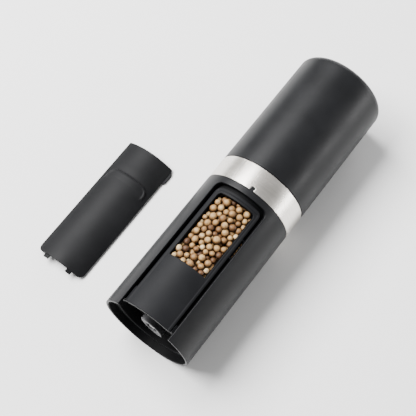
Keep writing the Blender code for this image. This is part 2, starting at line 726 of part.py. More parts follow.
def grind_adjuster(shop):
    """Wing plate at the open end that screws along the shaft and sets the burrs' gap."""
    top = KNOB_BOTTOM + KNOB_THICKNESS
    hole = circle(SHAFT_RADIUS + 1.1 * MM, SMALL_SIDES)
    outline = lens_outline(KNOB_HALF_LENGTH, KNOB_HALF_WIDTH)
    plate = as_mesh(extruded("adjuster_knob", [outline, hole], KNOB_BOTTOM, top))
    plate.rotation_euler.z = pi / 2 + KNOB_TILT
    collar = turned(
        "knob_boss",
        tube_profile(KNOB_BOSS_RADIUS, SHAFT_RADIUS + RUNNING_GAP, top - 1.0 * MM, ROTOR_BOTTOM - TOUCH_GAP),
        SMALL_SIDES,
    )
    join(plate, shop.tool(collar))
    shop.keep(plate, GREY_ZINC)


def drive_shaft(shop):
    """Steel shaft through the chamber, with its collar, the burr spring and the feed paddle."""
    top = CASE_FLOOR - 0.6 * MM
    shaft = turned("drive_shaft", rod_profile(SHAFT_RADIUS, SHAFT_BOTTOM, top, 0.4 * MM), SMALL_SIDES)
    shop.keep(shaft, STEEL)
    bore = SHAFT_RADIUS + SEAL_GAP
    high = COLLAR_BOTTOM + 1.4 * MM
    collar = turned("spring_collar", tube_profile(4.6 * MM, bore, COLLAR_BOTTOM, high), SMALL_SIDES)
    shop.keep(collar, DARK_STEEL)
    wire_radius = 0.4 * MM
    points = coil_points(
        SHAFT_RADIUS + 1.1 * MM,
        ROTOR_TOP + wire_radius + SEAL_GAP,
        COLLAR_BOTTOM - wire_radius - SEAL_GAP,
        3.5,
        9,
    )
    shop.keep(wire("burr_spring", points, wire_radius, 0), STEEL)
    paddle_low = high + FIT_GAP
    hub = tube_profile(4.4 * MM, bore, paddle_low, paddle_low + 6.0 * MM)
    paddle = turned("feed_paddle", hub, SMALL_SIDES)
    for index in range(2):
        blade = box(
            f"paddle_blade_{index}",
            (3.6 * MM, -0.8 * MM, paddle_low + 0.8 * MM),
            (11.0 * MM, 0.8 * MM, paddle_low + 5.2 * MM),
            0.5 * MM,
        )
        blade.rotation_euler.z = pi * index + 0.4
        join(paddle, shop.tool(blade))
    shop.keep(paddle, WHITE_PLASTIC)


def gearbox_case(shop):
    """Cup that closes the chamber and holds the ring gear, with its bush and screws."""
    bottom = DRIVE_FLOOR + FIT_GAP
    profile = [
        (CASE_OUTER, CASE_TOP),
        (CASE_OUTER, CASE_FLOOR),
        (CASE_FLANGE, CASE_FLOOR),
        (CASE_FLANGE, bottom),
        (BUSH_RADIUS + FIT_GAP, bottom),
        (BUSH_RADIUS + FIT_GAP, CASE_FLOOR),
        (CASE_INNER, CASE_FLOOR),
        (CASE_INNER, CASE_TOP),
    ]
    case = turned("gearbox_case", profile, INNER_SIDES)
    low_fixings = around(3, CASE_FIXING_CIRCLE)
    high_fixings = around(3, HOLDER_FIXING_CIRCLE, pi / 3)
    drill(shop, case, low_fixings, bottom - 1.0 * MM, CASE_FLOOR + 1.0 * MM)
    drill(shop, case, high_fixings, CASE_TOP - HOLDER_SCREW_DEPTH - 1.0 * MM, CASE_TOP + 1.0 * MM)
    shop.keep(case, BLACK_PLASTIC)
    cap_screws(shop, "case_screw", low_fixings, CASE_FLOOR, CHAMBER_TOP + 1.0 * MM)
    bush = tube_profile(BUSH_RADIUS, HUB_RADIUS + RUNNING_GAP, bottom, CASE_FLOOR)
    shop.keep(turned("output_bush", bush, SMALL_SIDES), BRASS)


def gears(shop):
    """Two planetary stages: motor pinion, planets, carriers and one ring gear for both."""
    ring_pitch = MODULE * RING_TEETH / 2
    space = tooth_outline(
        RING_TEETH,
        ring_pitch + TOOTH_ROOT * MODULE,
        ring_pitch - TOOTH_TOP * MODULE,
        -GEAR_BACKLASH,
        pi / RING_TEETH,
    )
    ring = extruded(
        "ring_gear",
        [circle(RING_GEAR_RADIUS, INNER_SIDES), space],
        CASE_FLOOR + TOUCH_GAP,
        CASE_TOP - TOUCH_GAP,
    )
    shop.keep(ring, WHITE_PLASTIC)

    pinion_hole = circle(MOTOR_SHAFT_RADIUS + FIT_GAP, HOLE_SIDES)
    low = HIGH_PLANET_BOTTOM
    pinion = extruded("motor_pinion", [gear_outline(SUN_TEETH), pinion_hole], low, low + GEAR_WIDTH)
    shop.keep(pinion, BRASS)

    planet_hole = circle(PIN_RADIUS + FIT_GAP, HOLE_SIDES)
    half_tooth = pi / PLANET_TEETH
    for stage, bottom in (("low", LOW_PLANET_BOTTOM), ("high", HIGH_PLANET_BOTTOM)):
        for index, (_, x, y) in enumerate(around(PLANETS, PLANET_CIRCLE), start=1):
            outline = gear_outline(PLANET_TEETH, half_tooth)
            planet = extruded(f"{stage}_planet_{index}", [outline, planet_hole], bottom, bottom + GEAR_WIDTH)
            planet.location.x = x
            planet.location.y = y
            shop.keep(planet, WHITE_PLASTIC)


def carrier(shop, name, bottom, pin_top):
    """A disc with three planet pins."""
    profile = rod_profile(CARRIER_RADIUS, bottom, bottom + CARRIER_THICKNESS)
    disc = turned(name, profile, INNER_SIDES)
    for index, (_, x, y) in enumerate(around(PLANETS, PLANET_CIRCLE)):
        low = bottom + CARRIER_THICKNESS / 2
        pin = turned(f"{name}_pin_{index}", rod_profile(PIN_RADIUS, low, pin_top), HOLE_SIDES)
        pin.location = (x, y, 0.0)
        join(disc, shop.tool(pin))
    return disc


def carriers(shop):
    """The output carrier with its hub on the shaft, and the upper carrier with the second sun."""
    low = carrier(shop, "output_carrier", LOW_CARRIER_BOTTOM, LOW_PIN_TOP)
    hub_bottom = DRIVE_FLOOR - 2.0 * MM
    hub_profile = rod_profile(HUB_RADIUS, hub_bottom, LOW_CARRIER_BOTTOM + 0.5 * MM)
    hub = turned("output_hub", hub_profile, SMALL_SIDES)
    join(low, shop.tool(hub))
    socket_top = CASE_FLOOR - 0.3 * MM
    socket_profile = rod_profile(SHAFT_RADIUS + SEAL_GAP, hub_bottom - 1.0 * MM, socket_top)
    socket = turned("shaft_socket", socket_profile, SMALL_SIDES)
    cut(low, shop.tool(socket))
    shop.keep(low, WHITE_PLASTIC)

    high = carrier(shop, "upper_carrier", HIGH_CARRIER_BOTTOM, HIGH_PIN_TOP)
    sun = as_mesh(
        extruded("second_sun", [gear_outline(SUN_TEETH)], LOW_PLANET_BOTTOM, HIGH_CARRIER_BOTTOM + 0.5 * MM)
    )
    join(high, shop.tool(sun))
    shop.keep(high, WHITE_PLASTIC)


def motor(shop):
    """Motor, its shaft, the plate it is screwed to and the screws."""
    plate_top = MOTOR_PLATE_BOTTOM + MOTOR_PLATE_THICKNESS
    boss = 3.0 * MM
    boss_gap = boss + FIT_GAP
    profile = tube_profile(CASE_FLANGE, boss_gap, MOTOR_PLATE_BOTTOM, plate_top)
    plate = turned("motor_plate", profile, INNER_SIDES)
    high_fixings = around(3, HOLDER_FIXING_CIRCLE, pi / 3)
    motor_fixings = around(2, 8.0 * MM, pi / 2)
    drill(shop, plate, high_fixings, MOTOR_PLATE_BOTTOM - 1.0 * MM, plate_top + 1.0 * MM)
    drill(shop, plate, motor_fixings, MOTOR_PLATE_BOTTOM - 1.0 * MM, plate_top + 1.0 * MM)
    shop.keep(plate, DARK_STEEL)

    bore = MOTOR_SHAFT_RADIUS + SEAL_GAP
    top = MOTOR_BOTTOM + MOTOR_LENGTH
    rear = 4.0 * MM
    profile = [
        (MOTOR_RADIUS, top),
        (MOTOR_RADIUS, MOTOR_BOTTOM),
        (boss, MOTOR_BOTTOM),
        (boss, MOTOR_PLATE_BOTTOM + 0.4 * MM),
        (bore, MOTOR_PLATE_BOTTOM + 0.4 * MM),
        (bore, top + 1.2 * MM),
        (rear, top + 1.2 * MM),
        (rear, top),
    ]
    can = turned("motor_can", profile, INNER_SIDES)
    drill(shop, can, motor_fixings, MOTOR_BOTTOM - 1.0 * MM, MOTOR_BOTTOM + 4.0 * MM)
    shop.keep(can, STEEL)
    cap_screws(shop, "motor_screw", motor_fixings, MOTOR_PLATE_BOTTOM, MOTOR_BOTTOM + 3.0 * MM)
    shaft = rod_profile(MOTOR_SHAFT_RADIUS, HIGH_PLANET_BOTTOM, top + 2.0 * MM)
    shop.keep(turned("motor_shaft", shaft, HOLE_SIDES), STEEL)


def battery_pack(shop):
    """Holder, cells, their springs, the contact lid and the switch."""
    tube_top = LID_BOTTOM - TOUCH_GAP
    profile = [
        (HOLDER_TUBE_OUTER, tube_top),
        (HOLDER_TUBE_OUTER, HOLDER_TOP),
        (HOLDER_RADIUS, HOLDER_TOP),
        (HOLDER_RADIUS, MOTOR_BOTTOM),
        (HOLDER_TUBE_INNER, MOTOR_BOTTOM),
        (HOLDER_TUBE_INNER, tube_top),
    ]
    holder = turned("battery_holder", profile, INNER_SIDES)
    high_fixings = around(3, HOLDER_FIXING_CIRCLE, pi / 3)
    drill(shop, holder, high_fixings, MOTOR_BOTTOM - 1.0 * MM, HOLDER_TOP + 1.0 * MM)
    shop.keep(holder, BLACK_PLASTIC)
    cap_screws(shop, "holder_screw", high_fixings, HOLDER_TOP, CASE_TOP - HOLDER_SCREW_DEPTH)

    nub_radius = 1.9 * MM
    nub = 0.9 * MM
    wire_radius = 0.3 * MM
    for index, (_, x, y) in enumerate(around(CELLS, CELL_CIRCLE, pi / CELLS), start=1):
        top = CELL_BOTTOM + CELL_LENGTH
        profile = [
            (0.0, top),
            (nub_radius, top),
            (nub_radius, top - nub),
            (CELL_RADIUS, top - nub),
            (CELL_RADIUS, CELL_BOTTOM),
            (0.0, CELL_BOTTOM),
        ]
        cell = turned(f"cell_{index}", profile, SMALL_SIDES)
        cell.location = (x, y, 0.0)
        shop.keep(cell, CELL_JACKET)
        low = HOLDER_TOP + wire_radius + SEAL_GAP
        high = CELL_BOTTOM - wire_radius - SEAL_GAP
        spring = wire(f"cell_spring_{index}", coil_points(3.0 * MM, low, high, 2.5, 8), wire_radius, 0)
        spring.location = (x, y, 0.0)
        shop.keep(spring, STEEL)

    lid_top = LID_BOTTOM + LID_THICKNESS
    lid = turned("contact_lid", tube_profile(HOLDER_RADIUS, 2.0 * MM, LID_BOTTOM, lid_top), INNER_SIDES)
    shop.keep(lid, BLACK_PLASTIC)
    switch = box(
        "switch_body",
        (-3.0 * MM, -3.0 * MM, SWITCH_BOTTOM),
        (3.0 * MM, 3.0 * MM, SWITCH_BOTTOM + SWITCH_HEIGHT),
        0.4 * MM,
        2,
    )
    tip = turned("switch_tip", rod_profile(1.6 * MM, SWITCH_BOTTOM + 1.0 * MM, SWITCH_TIP), HOLE_SIDES)
    join(switch, shop.tool(tip))
    shop.keep(switch, GREY_PLASTIC)


def end_arc(radius, height, fillet, count=4):
    """Points of a quarter round between an end face and a side, from the face down."""
    points = []
    for k in range(count + 1):
        angle = pi / 2 * (1 - k / count)
        points.append((radius - fillet + fillet * cos(angle), height - fillet + fillet * sin(angle)))
    return points


def upper_housing(shop):
    """Closed shell of the upper half, with the button's guide inside its end."""
    inner_top = BODY_LENGTH - 2.5 * MM
    profile = [
        (BUTTON_GUIDE_INNER, BODY_LENGTH),
        *end_arc(BODY_RADIUS, BODY_LENGTH, END_FILLET),
        (BODY_RADIUS, UPPER_BOTTOM + 0.3 * MM),
        (BODY_RADIUS - 0.3 * MM, UPPER_BOTTOM),
        (SHELL_INNER, UPPER_BOTTOM),
        (SHELL_INNER, inner_top - 2.5 * MM),
        (SHELL_INNER - 2.5 * MM, inner_top),
        (BUTTON_GUIDE_OUTER, inner_top),
        (BUTTON_GUIDE_OUTER, GUIDE_BOTTOM),
        (BUTTON_GUIDE_INNER, GUIDE_BOTTOM),
    ]
    shop.keep(turned("upper_housing", profile), BLACK_PLASTIC)

    cage_inner = BUTTON_GUIDE_OUTER + FIT_GAP
    stem_gap = 3.0 * MM
    top = inner_top - TOUCH_GAP
    cage = [
        (cage_inner + 1.5 * MM, top),
        (cage_inner + 1.5 * MM, CAGE_FLOOR - 1.4 * MM),
        (stem_gap, CAGE_FLOOR - 1.4 * MM),
        (stem_gap, CAGE_FLOOR),
        (cage_inner, CAGE_FLOOR),
        (cage_inner, top),
    ]
    shop.keep(turned("button_cage", cage, INNER_SIDES), BLACK_PLASTIC)


def push_button(shop):
    """Button in the closed end, with its stem and return spring."""
    stem = 2.2 * MM
    flange = BUTTON_GUIDE_OUTER - 0.1 * MM
    top = BODY_LENGTH - BUTTON_DISH
    profile = [
        (0.0, top - 0.5 * MM),
        (BUTTON_RADIUS * 0.7, top - 0.3 * MM),
        (BUTTON_RADIUS - 0.5 * MM, top),
        (BUTTON_RADIUS, top - 0.5 * MM),
        (BUTTON_RADIUS, FLANGE_TOP),
        (flange, FLANGE_TOP),
        (flange, FLANGE_BOTTOM),
        (stem, FLANGE_BOTTOM),
        (stem, STEM_BOTTOM),
        (0.0, STEM_BOTTOM),
    ]
    shop.keep(turned("push_button", profile, INNER_SIDES), BLACK_PLASTIC)
    wire_radius = 0.3 * MM
    low = CAGE_FLOOR + wire_radius + SEAL_GAP
    high = FLANGE_BOTTOM - wire_radius - SEAL_GAP
    points = coil_points(4.6 * MM, low, high, 3.0, 10)
    shop.keep(wire("button_spring", points, wire_radius, 0), STEEL)


def shade_round_pieces(shop):
    """Smooth shading with sharp edges on the pieces that are plain meshes with faces."""
    for obj in shop.pieces.objects:
        if obj.type != "MESH":
            continue
        for modifier in obj.modifiers:
            if modifier.type == "SCREW":
                modifier.use_smooth_shade = True
        if obj.data.polygons:
            obj.data.shade_smooth()
            obj.data.set_sharp_from_angle(angle=radians(35))


def main():
    clear_scene()
    shop = Workshop()
    lower_housing(shop)
    grain_chamber(shop)
    refill_cover(shop)
    steel_band(shop)
    neck_seal(shop)
    grinding_set(shop)
    grind_adjuster(shop)
    drive_shaft(shop)
    gearbox_case(shop)
    gears(shop)
    carriers(shop)
    motor(shop)
    battery_pack(shop)
    upper_housing(shop)
    push_button(shop)
    shade_round_pieces(shop)


main()
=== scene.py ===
"""Looks of a battery pepper mill lying on its side, with its refill cover laid beside it.

Sizes are in millimetres in the mill's own frame: Z runs up the axis from the open grinding rim,
and the refill window faces -X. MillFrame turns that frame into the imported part's metres.
"""

import json
import logging
import math
import random
from collections.abc import Sequence
from dataclasses import dataclass, field
from enum import Enum
from typing import ClassVar

import bmesh
import bpy
import numpy as np
from mathutils import Matrix, Vector


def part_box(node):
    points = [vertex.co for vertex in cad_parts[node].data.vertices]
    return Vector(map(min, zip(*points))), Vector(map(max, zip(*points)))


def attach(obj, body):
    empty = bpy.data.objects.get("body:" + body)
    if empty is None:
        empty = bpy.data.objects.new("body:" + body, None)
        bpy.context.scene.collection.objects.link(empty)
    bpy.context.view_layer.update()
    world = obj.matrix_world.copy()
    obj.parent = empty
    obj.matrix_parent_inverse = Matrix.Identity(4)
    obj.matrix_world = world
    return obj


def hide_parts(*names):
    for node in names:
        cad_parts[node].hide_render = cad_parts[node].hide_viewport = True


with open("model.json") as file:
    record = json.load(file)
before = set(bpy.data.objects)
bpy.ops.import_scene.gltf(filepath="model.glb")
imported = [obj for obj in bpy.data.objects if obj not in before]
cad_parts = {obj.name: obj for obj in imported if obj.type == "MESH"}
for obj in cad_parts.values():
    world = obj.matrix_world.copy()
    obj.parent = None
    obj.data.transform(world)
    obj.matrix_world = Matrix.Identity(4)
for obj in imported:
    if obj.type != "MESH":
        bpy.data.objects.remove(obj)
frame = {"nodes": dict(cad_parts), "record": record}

LOG = logging.getLogger("pepper_mill")
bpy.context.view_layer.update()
MM = 0.001
RING_SPARE = 3.0  # how far a flat ring runs past half a turn, before it is trimmed
Point2 = tuple[float, float]
Point3 = tuple[float, float, float]
Colour = tuple[float, float, float]
Socket = bpy.types.NodeSocket
Stops = tuple[tuple[float, Colour], ...]
MIX_FIRST, MIX_SECOND, MIX_RESULT = 6, 7, 2  # colour sockets of a Mix node


# ------------------------------------------------------------------ the shared frame


@dataclass(frozen=True)
class MillFrame:
    """Place of the mill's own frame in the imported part, in metres."""

    rim: float
    across: float
    height: float

    @classmethod
    def from_cad(cls) -> "MillFrame":
        """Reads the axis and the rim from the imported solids.

        Returns:
            The frame of the lying mill.
        """
        shell_low, shell_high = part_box("upper_housing")
        rim_low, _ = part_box("lower_housing")
        return cls(
            rim=rim_low[0],
            across=(shell_low[1] + shell_high[1]) / 2,
            height=(shell_low[2] + shell_high[2]) / 2,
        )

    def matrix(self) -> Matrix:
        """Matrix from the mill's millimetres to the part's metres."""
        place = Matrix.Translation((self.rim, self.across, self.height))
        return place @ Matrix.Rotation(math.pi / 2, 4, "Y") @ Matrix.Scale(MM, 4)


FRAME = MillFrame.from_cad()


def body_of_node(node: str) -> str:
    """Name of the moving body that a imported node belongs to."""
    for body, nodes in frame["record"]["behaviour"]["bodies"].items():
        if node in nodes:
            return body
    raise KeyError(node)


def slot_of_node(node: str) -> str:
    """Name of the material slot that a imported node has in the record."""
    for part in frame["record"]["subparts"]:
        if part["node"] == node:
            return part["material_slot"]
    raise KeyError(node)


# ------------------------------------------------------------------ sizes


@dataclass(frozen=True)
class MillSizes:
    """Sizes that more than one piece of the mill shares, in millimetres."""

    radius: float = 28.36
    length: float = 193.0
    wall: float = 2.06
    shoulder: float = 93.7
    band_bottom: float = 93.9
    band_top: float = 108.6
    upper_bottom: float = 109.0
    seat_half: float = 17.2
    seat_top: float = 89.8
    seat_corner: float = 4.0
    chamber_bottom: float = 4.6
    chamber_top: float = 91.6
    chamber_inner: float = 23.6
    tube_outer: float = 24.9
    sleeve_outer: float = 26.0
    panel_radius: float = 26.8
    panel_half: float = 15.0
    panel_top: float = 87.6
    panel_corner: float = 3.6
    window_half: float = 12.4
    window_bottom: float = 38.8
    window_top: float = 84.3
    window_corner: float = 2.2
    key_angle: float = math.radians(-6.0)
    key_width: float = 1.9
    key_height: float = 2.4

    def around(self, y: float, radius: float) -> float:
        """Arc length on a circle from the window's middle line to a distance across."""
        return radius * math.asin(y / radius)


SIZES = MillSizes()


# ------------------------------------------------------------------ finishes


def toned(colour: Colour, factor: float) -> Colour:
    """Colour made lighter or darker, up to white."""
    return tuple(min(1.0, c * factor) for c in colour)


class Nodes:
    """Small helper that writes one material's node tree."""

    def __init__(self, name: str) -> None:
        """Starts a material with a Principled shader.

        Args:
            name: Name of the material.
        """
        self.material = bpy.data.materials.new(name)
        self.material.use_nodes = True
        self.tree = self.material.node_tree
        self.shader = self.tree.nodes["Principled BSDF"]
        self.coords = self.add("ShaderNodeTexCoord")

    def add(self, kind: str, **settings: object) -> bpy.types.Node:
        """Adds a node and sets its properties."""
        node = self.tree.nodes.new(kind)
        for key, value in settings.items():
            setattr(node, key, value)
        return node

    def link(self, source: Socket, target: Socket) -> None:
        """Joins two sockets."""
        self.tree.links.new(source, target)

    def mapped(self, scale: Point3) -> Socket:
        """Object coordinates, stretched.

        Args:
            scale: Scale on each axis.

        Returns:
            The vector socket.
        """
        mapping = self.add("ShaderNodeMapping")
        mapping.inputs["Scale"].default_value = scale
        self.link(self.coords.outputs["Object"], mapping.inputs["Vector"])
        return mapping.outputs["Vector"]

    def noise(
        self, scale: float, detail: float = 2.0, vector: Socket | None = None
    ) -> Socket:
        """Noise value on Object coordinates.

        Args:
            scale: Cycles per metre, before any mapping.
            detail: Number of octaves.
            vector: Another vector to read in place of Object coordinates.

        Returns:
            The value socket.
        """
        texture = self.add("ShaderNodeTexNoise")
        texture.inputs["Scale"].default_value = scale
        texture.inputs["Detail"].default_value = detail
        self.link(vector or self.coords.outputs["Object"], texture.inputs["Vector"])
        return texture.outputs["Fac"]

    def spread(
        self, value: Socket, low: float, high: float, start: float = 0.3, end: float = 0.7
    ) -> Socket:
        """Maps a value from one range to another.

        Args:
            value: The socket to map.
            low: Result at the start of the range.
            high: Result at the end of the range.
            start: Start of the range that is read.
            end: End of the range that is read.

        Returns:
            The mapped socket.
        """
        node = self.add("ShaderNodeMapRange")
        node.inputs["From Min"].default_value = start
        node.inputs["From Max"].default_value = end
        node.inputs["To Min"].default_value = low
        node.inputs["To Max"].default_value = high
        self.link(value, node.inputs["Value"])
        return node.outputs["Result"]

    def ramp(self, value: Socket, stops: Stops) -> Socket:
        """Colour ramp over a value.

        Args:
            value: The socket that drives the ramp.
            stops: Positions and colours, in order.

        Returns:
            The colour socket.
        """
        node = self.add("ShaderNodeValToRGB")
        elements = node.color_ramp.elements
        while len(elements) < len(stops):
            elements.new(0.5)
        for element, (position, colour) in zip(elements, stops):
            element.position = position
            element.color = (*colour, 1.0)
        self.link(value, node.inputs["Fac"])
        return node.outputs["Color"]

    def mix(self, first: Socket, second: Socket, share: Socket | None = None) -> Socket:
        """Mixes two colours, or multiplies them where no share is given.

        Args:
            first: The first colour.
            second: The second colour.
            share: Share of the second colour.

        Returns:
            The colour socket.
        """
        node = self.add("ShaderNodeMix", data_type="RGBA")
        if share is None:
            node.blend_type = "MULTIPLY"
            node.inputs["Factor"].default_value = 1.0
        else:
            self.link(share, node.inputs["Factor"])
        self.link(first, node.inputs[MIX_FIRST])
        self.link(second, node.inputs[MIX_SECOND])
        return node.outputs[MIX_RESULT]

    def bump(self, layers: list[tuple[Socket, float, float]]) -> None:
        """Bump made of several height layers.

        Args:
            layers: Height socket, strength and distance in metres of each layer.
        """
        normal = None
        for height, strength, distance in layers:
            node = self.add("ShaderNodeBump")
            node.inputs["Strength"].default_value = strength
            node.inputs["Distance"].default_value = distance
            self.link(height, node.inputs["Height"])
            if normal is not None:
                self.link(normal, node.inputs["Normal"])
            normal = node.outputs["Normal"]
        if normal is not None:
            self.wire("Normal", normal)

    def tint(self, name: str, value: object) -> None:
        """Sets one constant on the shader."""
        self.shader.inputs[name].default_value = value

    def wire(self, name: str, source: Socket) -> None:
        """Joins a socket to one of the shader's inputs."""
        self.link(source, self.shader.inputs[name])


@dataclass(frozen=True)
class Finish:
    """What every procedural finish has.

    Attributes:
        name: Name of the finish.
        colour: Linear base colour.
    """

    name: str
    colour: Colour


@dataclass(frozen=True)
class MouldedPlastic(Finish):
    """Matt moulded plastic with a fine spark-eroded grain, faint flow marks and dust.

    Attributes:
        roughness: Middle roughness.
        grain: Strength of the fine grain.
        sheen: Specular level.
    """

    roughness: float = 0.4
    grain: float = 0.3
    sheen: float = 0.17

    def make(self) -> bpy.types.Material:
        """Builds the material."""
        nodes = Nodes(self.name)
        fine = nodes.noise(4200.0, 3.0)
        broad = nodes.noise(55.0, 4.0)
        specks = nodes.noise(900.0, 1.0)
        base = nodes.ramp(broad, [(0.35, toned(self.colour, 0.9)), (0.65, toned(self.colour, 1.12))])
        dust = nodes.ramp(specks, [(0.74, (0.0, 0.0, 0.0)), (0.8, (0.25, 0.25, 0.25))])
        pale = nodes.ramp(fine, [(0.0, toned(self.colour, 1.8)), (1.0, toned(self.colour, 2.2))])
        nodes.wire("Base Color", nodes.mix(base, pale, dust))
        nodes.wire("Roughness", nodes.spread(broad, self.roughness - 0.05, self.roughness + 0.05))
        nodes.tint("Specular IOR Level", self.sheen)
        nodes.bump([(fine, self.grain, 0.00006), (broad, 0.08, 0.0003)])
        return nodes.material


class Lay(Enum):
    """Direction in which a metal surface is brushed or turned."""

    ROUND_AXIS = "round"
    ALONG_AXIS = "along"
    NONE = "none"


@dataclass(frozen=True)
class WorkedMetal(Finish):
    """Brushed, turned, drawn or plated metal.

    Attributes:
        roughness: Middle roughness.
        lay: Direction of the fine lines.
        depth: Strength of the lines.
        stain: How much the tone varies.
    """

    roughness: float = 0.28
    lay: Lay = Lay.ROUND_AXIS
    depth: float = 0.25
    stain: float = 0.08

    def make(self) -> bpy.types.Material:
        """Builds the material."""
        nodes = Nodes(self.name)
        scale = {
            Lay.ROUND_AXIS: (2600.0, 40.0, 40.0),
            Lay.ALONG_AXIS: (60.0, 7000.0, 7000.0),
            Lay.NONE: (1500.0, 1500.0, 1500.0),
        }[self.lay]
        lines = nodes.noise(1.0, 3.0, nodes.mapped(scale))
        broad = nodes.noise(70.0, 3.0)
        low, high = toned(self.colour, 1.0 - self.stain), toned(self.colour, 1.0 + self.stain)
        nodes.wire("Base Color", nodes.ramp(lines, [(0.3, low), (0.7, high)]))
        nodes.wire("Roughness", nodes.spread(broad, self.roughness - 0.04, self.roughness + 0.06))
        nodes.tint("Metallic", 1.0)
        if self.lay is Lay.ROUND_AXIS:
            nodes.tint("Anisotropic", 0.6)
            tangent = nodes.add("ShaderNodeTangent", direction_type="RADIAL", axis="X")
            nodes.wire("Tangent", tangent.outputs["Tangent"])
        nodes.bump([(lines, self.depth, 0.00002)])
        return nodes.material


@dataclass(frozen=True)
class Ceramic(Finish):
    """Fired ceramic of the burrs, with a fine matt skin and slight shading."""

    def make(self) -> bpy.types.Material:
        """Builds the material."""
        nodes = Nodes(self.name)
        grain = nodes.noise(3000.0, 4.0)
        clouds = nodes.noise(260.0, 2.0)
        nodes.wire("Base Color", nodes.ramp(clouds, [(0.35, toned(self.colour, 0.85)), (0.65, self.colour)]))
        nodes.wire("Roughness", nodes.spread(grain, 0.3, 0.5))
        nodes.tint("Coat Weight", 0.15)
        nodes.bump([(grain, 0.3, 0.00004)])
        return nodes.material


@dataclass(frozen=True)
class Rubber(Finish):
    """Black sealing rubber with a dull bloom."""

    def make(self) -> bpy.types.Material:
        """Builds the material."""
        nodes = Nodes(self.name)
        bloom = nodes.noise(400.0, 4.0)
        nodes.wire("Base Color", nodes.ramp(bloom, [(0.4, self.colour), (0.7, toned(self.colour, 1.6))]))
        nodes.wire("Roughness", nodes.spread(bloom, 0.6, 0.8))
        nodes.bump([(nodes.noise(2600.0, 2.0), 0.2, 0.00004)])
        return nodes.material


@dataclass(frozen=True)
class PeppercornSkin:
    """Dried peppercorn skin: cream to brown by corn, mottled and slightly wrinkled, with painted shade on
    each corn's side away from the window.

    Attributes:
        name: Name of the finish.
        attribute: Name of the attribute that gives each corn its tone.
        painted_shade_attribute: Name of the attribute that is high on the side that faces the window.
    """

    SKIN: ClassVar[Stops] = (
        (0.0, (0.07, 0.03, 0.01)),
        (0.2, (0.19, 0.095, 0.032)),
        (0.5, (0.4, 0.25, 0.105)),
        (0.8, (0.58, 0.41, 0.2)),
        (1.0, (0.76, 0.61, 0.37)),
    )
    MOTTLE: ClassVar[Stops] = ((0.28, (0.45, 0.34, 0.24)), (0.48, (0.88, 0.83, 0.76)), (0.7, (1.0, 1.0, 1.0)))
    # Painted shade: darkens each corn's side away from the window, down to near black.
    PAINTED_SHADE: ClassVar[Stops] = ((0.0, (0.04, 0.02, 0.01)), (0.5, (0.34, 0.25, 0.17)), (0.95, (1.0, 1.0, 1.0)))

    name: str
    attribute: str
    painted_shade_attribute: str

    def make(self) -> bpy.types.Material:
        """Builds the material."""
        nodes = Nodes(self.name)
        tone = nodes.add("ShaderNodeAttribute", attribute_name=self.attribute).outputs["Fac"]
        lit = nodes.add("ShaderNodeAttribute", attribute_name=self.painted_shade_attribute).outputs["Fac"]
        mottle = nodes.noise(900.0, 4.0)
        skin = nodes.mix(nodes.ramp(tone, self.SKIN), nodes.ramp(mottle, self.MOTTLE))
        # Painted shade: the lit value runs from the window side of each corn to its far side.
        side = nodes.spread(lit, 0.0, 1.0, -0.1, 1.0)
        nodes.wire("Base Color", nodes.mix(skin, nodes.ramp(side, self.PAINTED_SHADE)))
        nodes.wire("Roughness", nodes.spread(mottle, 0.62, 0.45))
        nodes.tint("Specular IOR Level", 0.35)
        nodes.tint("Subsurface Weight", 0.05)
        nodes.tint("Subsurface Radius", (0.001, 0.0006, 0.0003))
        nodes.bump([(nodes.noise(1400.0, 3.0), 0.6, 0.00025), (nodes.noise(5000.0, 2.0), 0.3, 0.00005)])
        return nodes.material


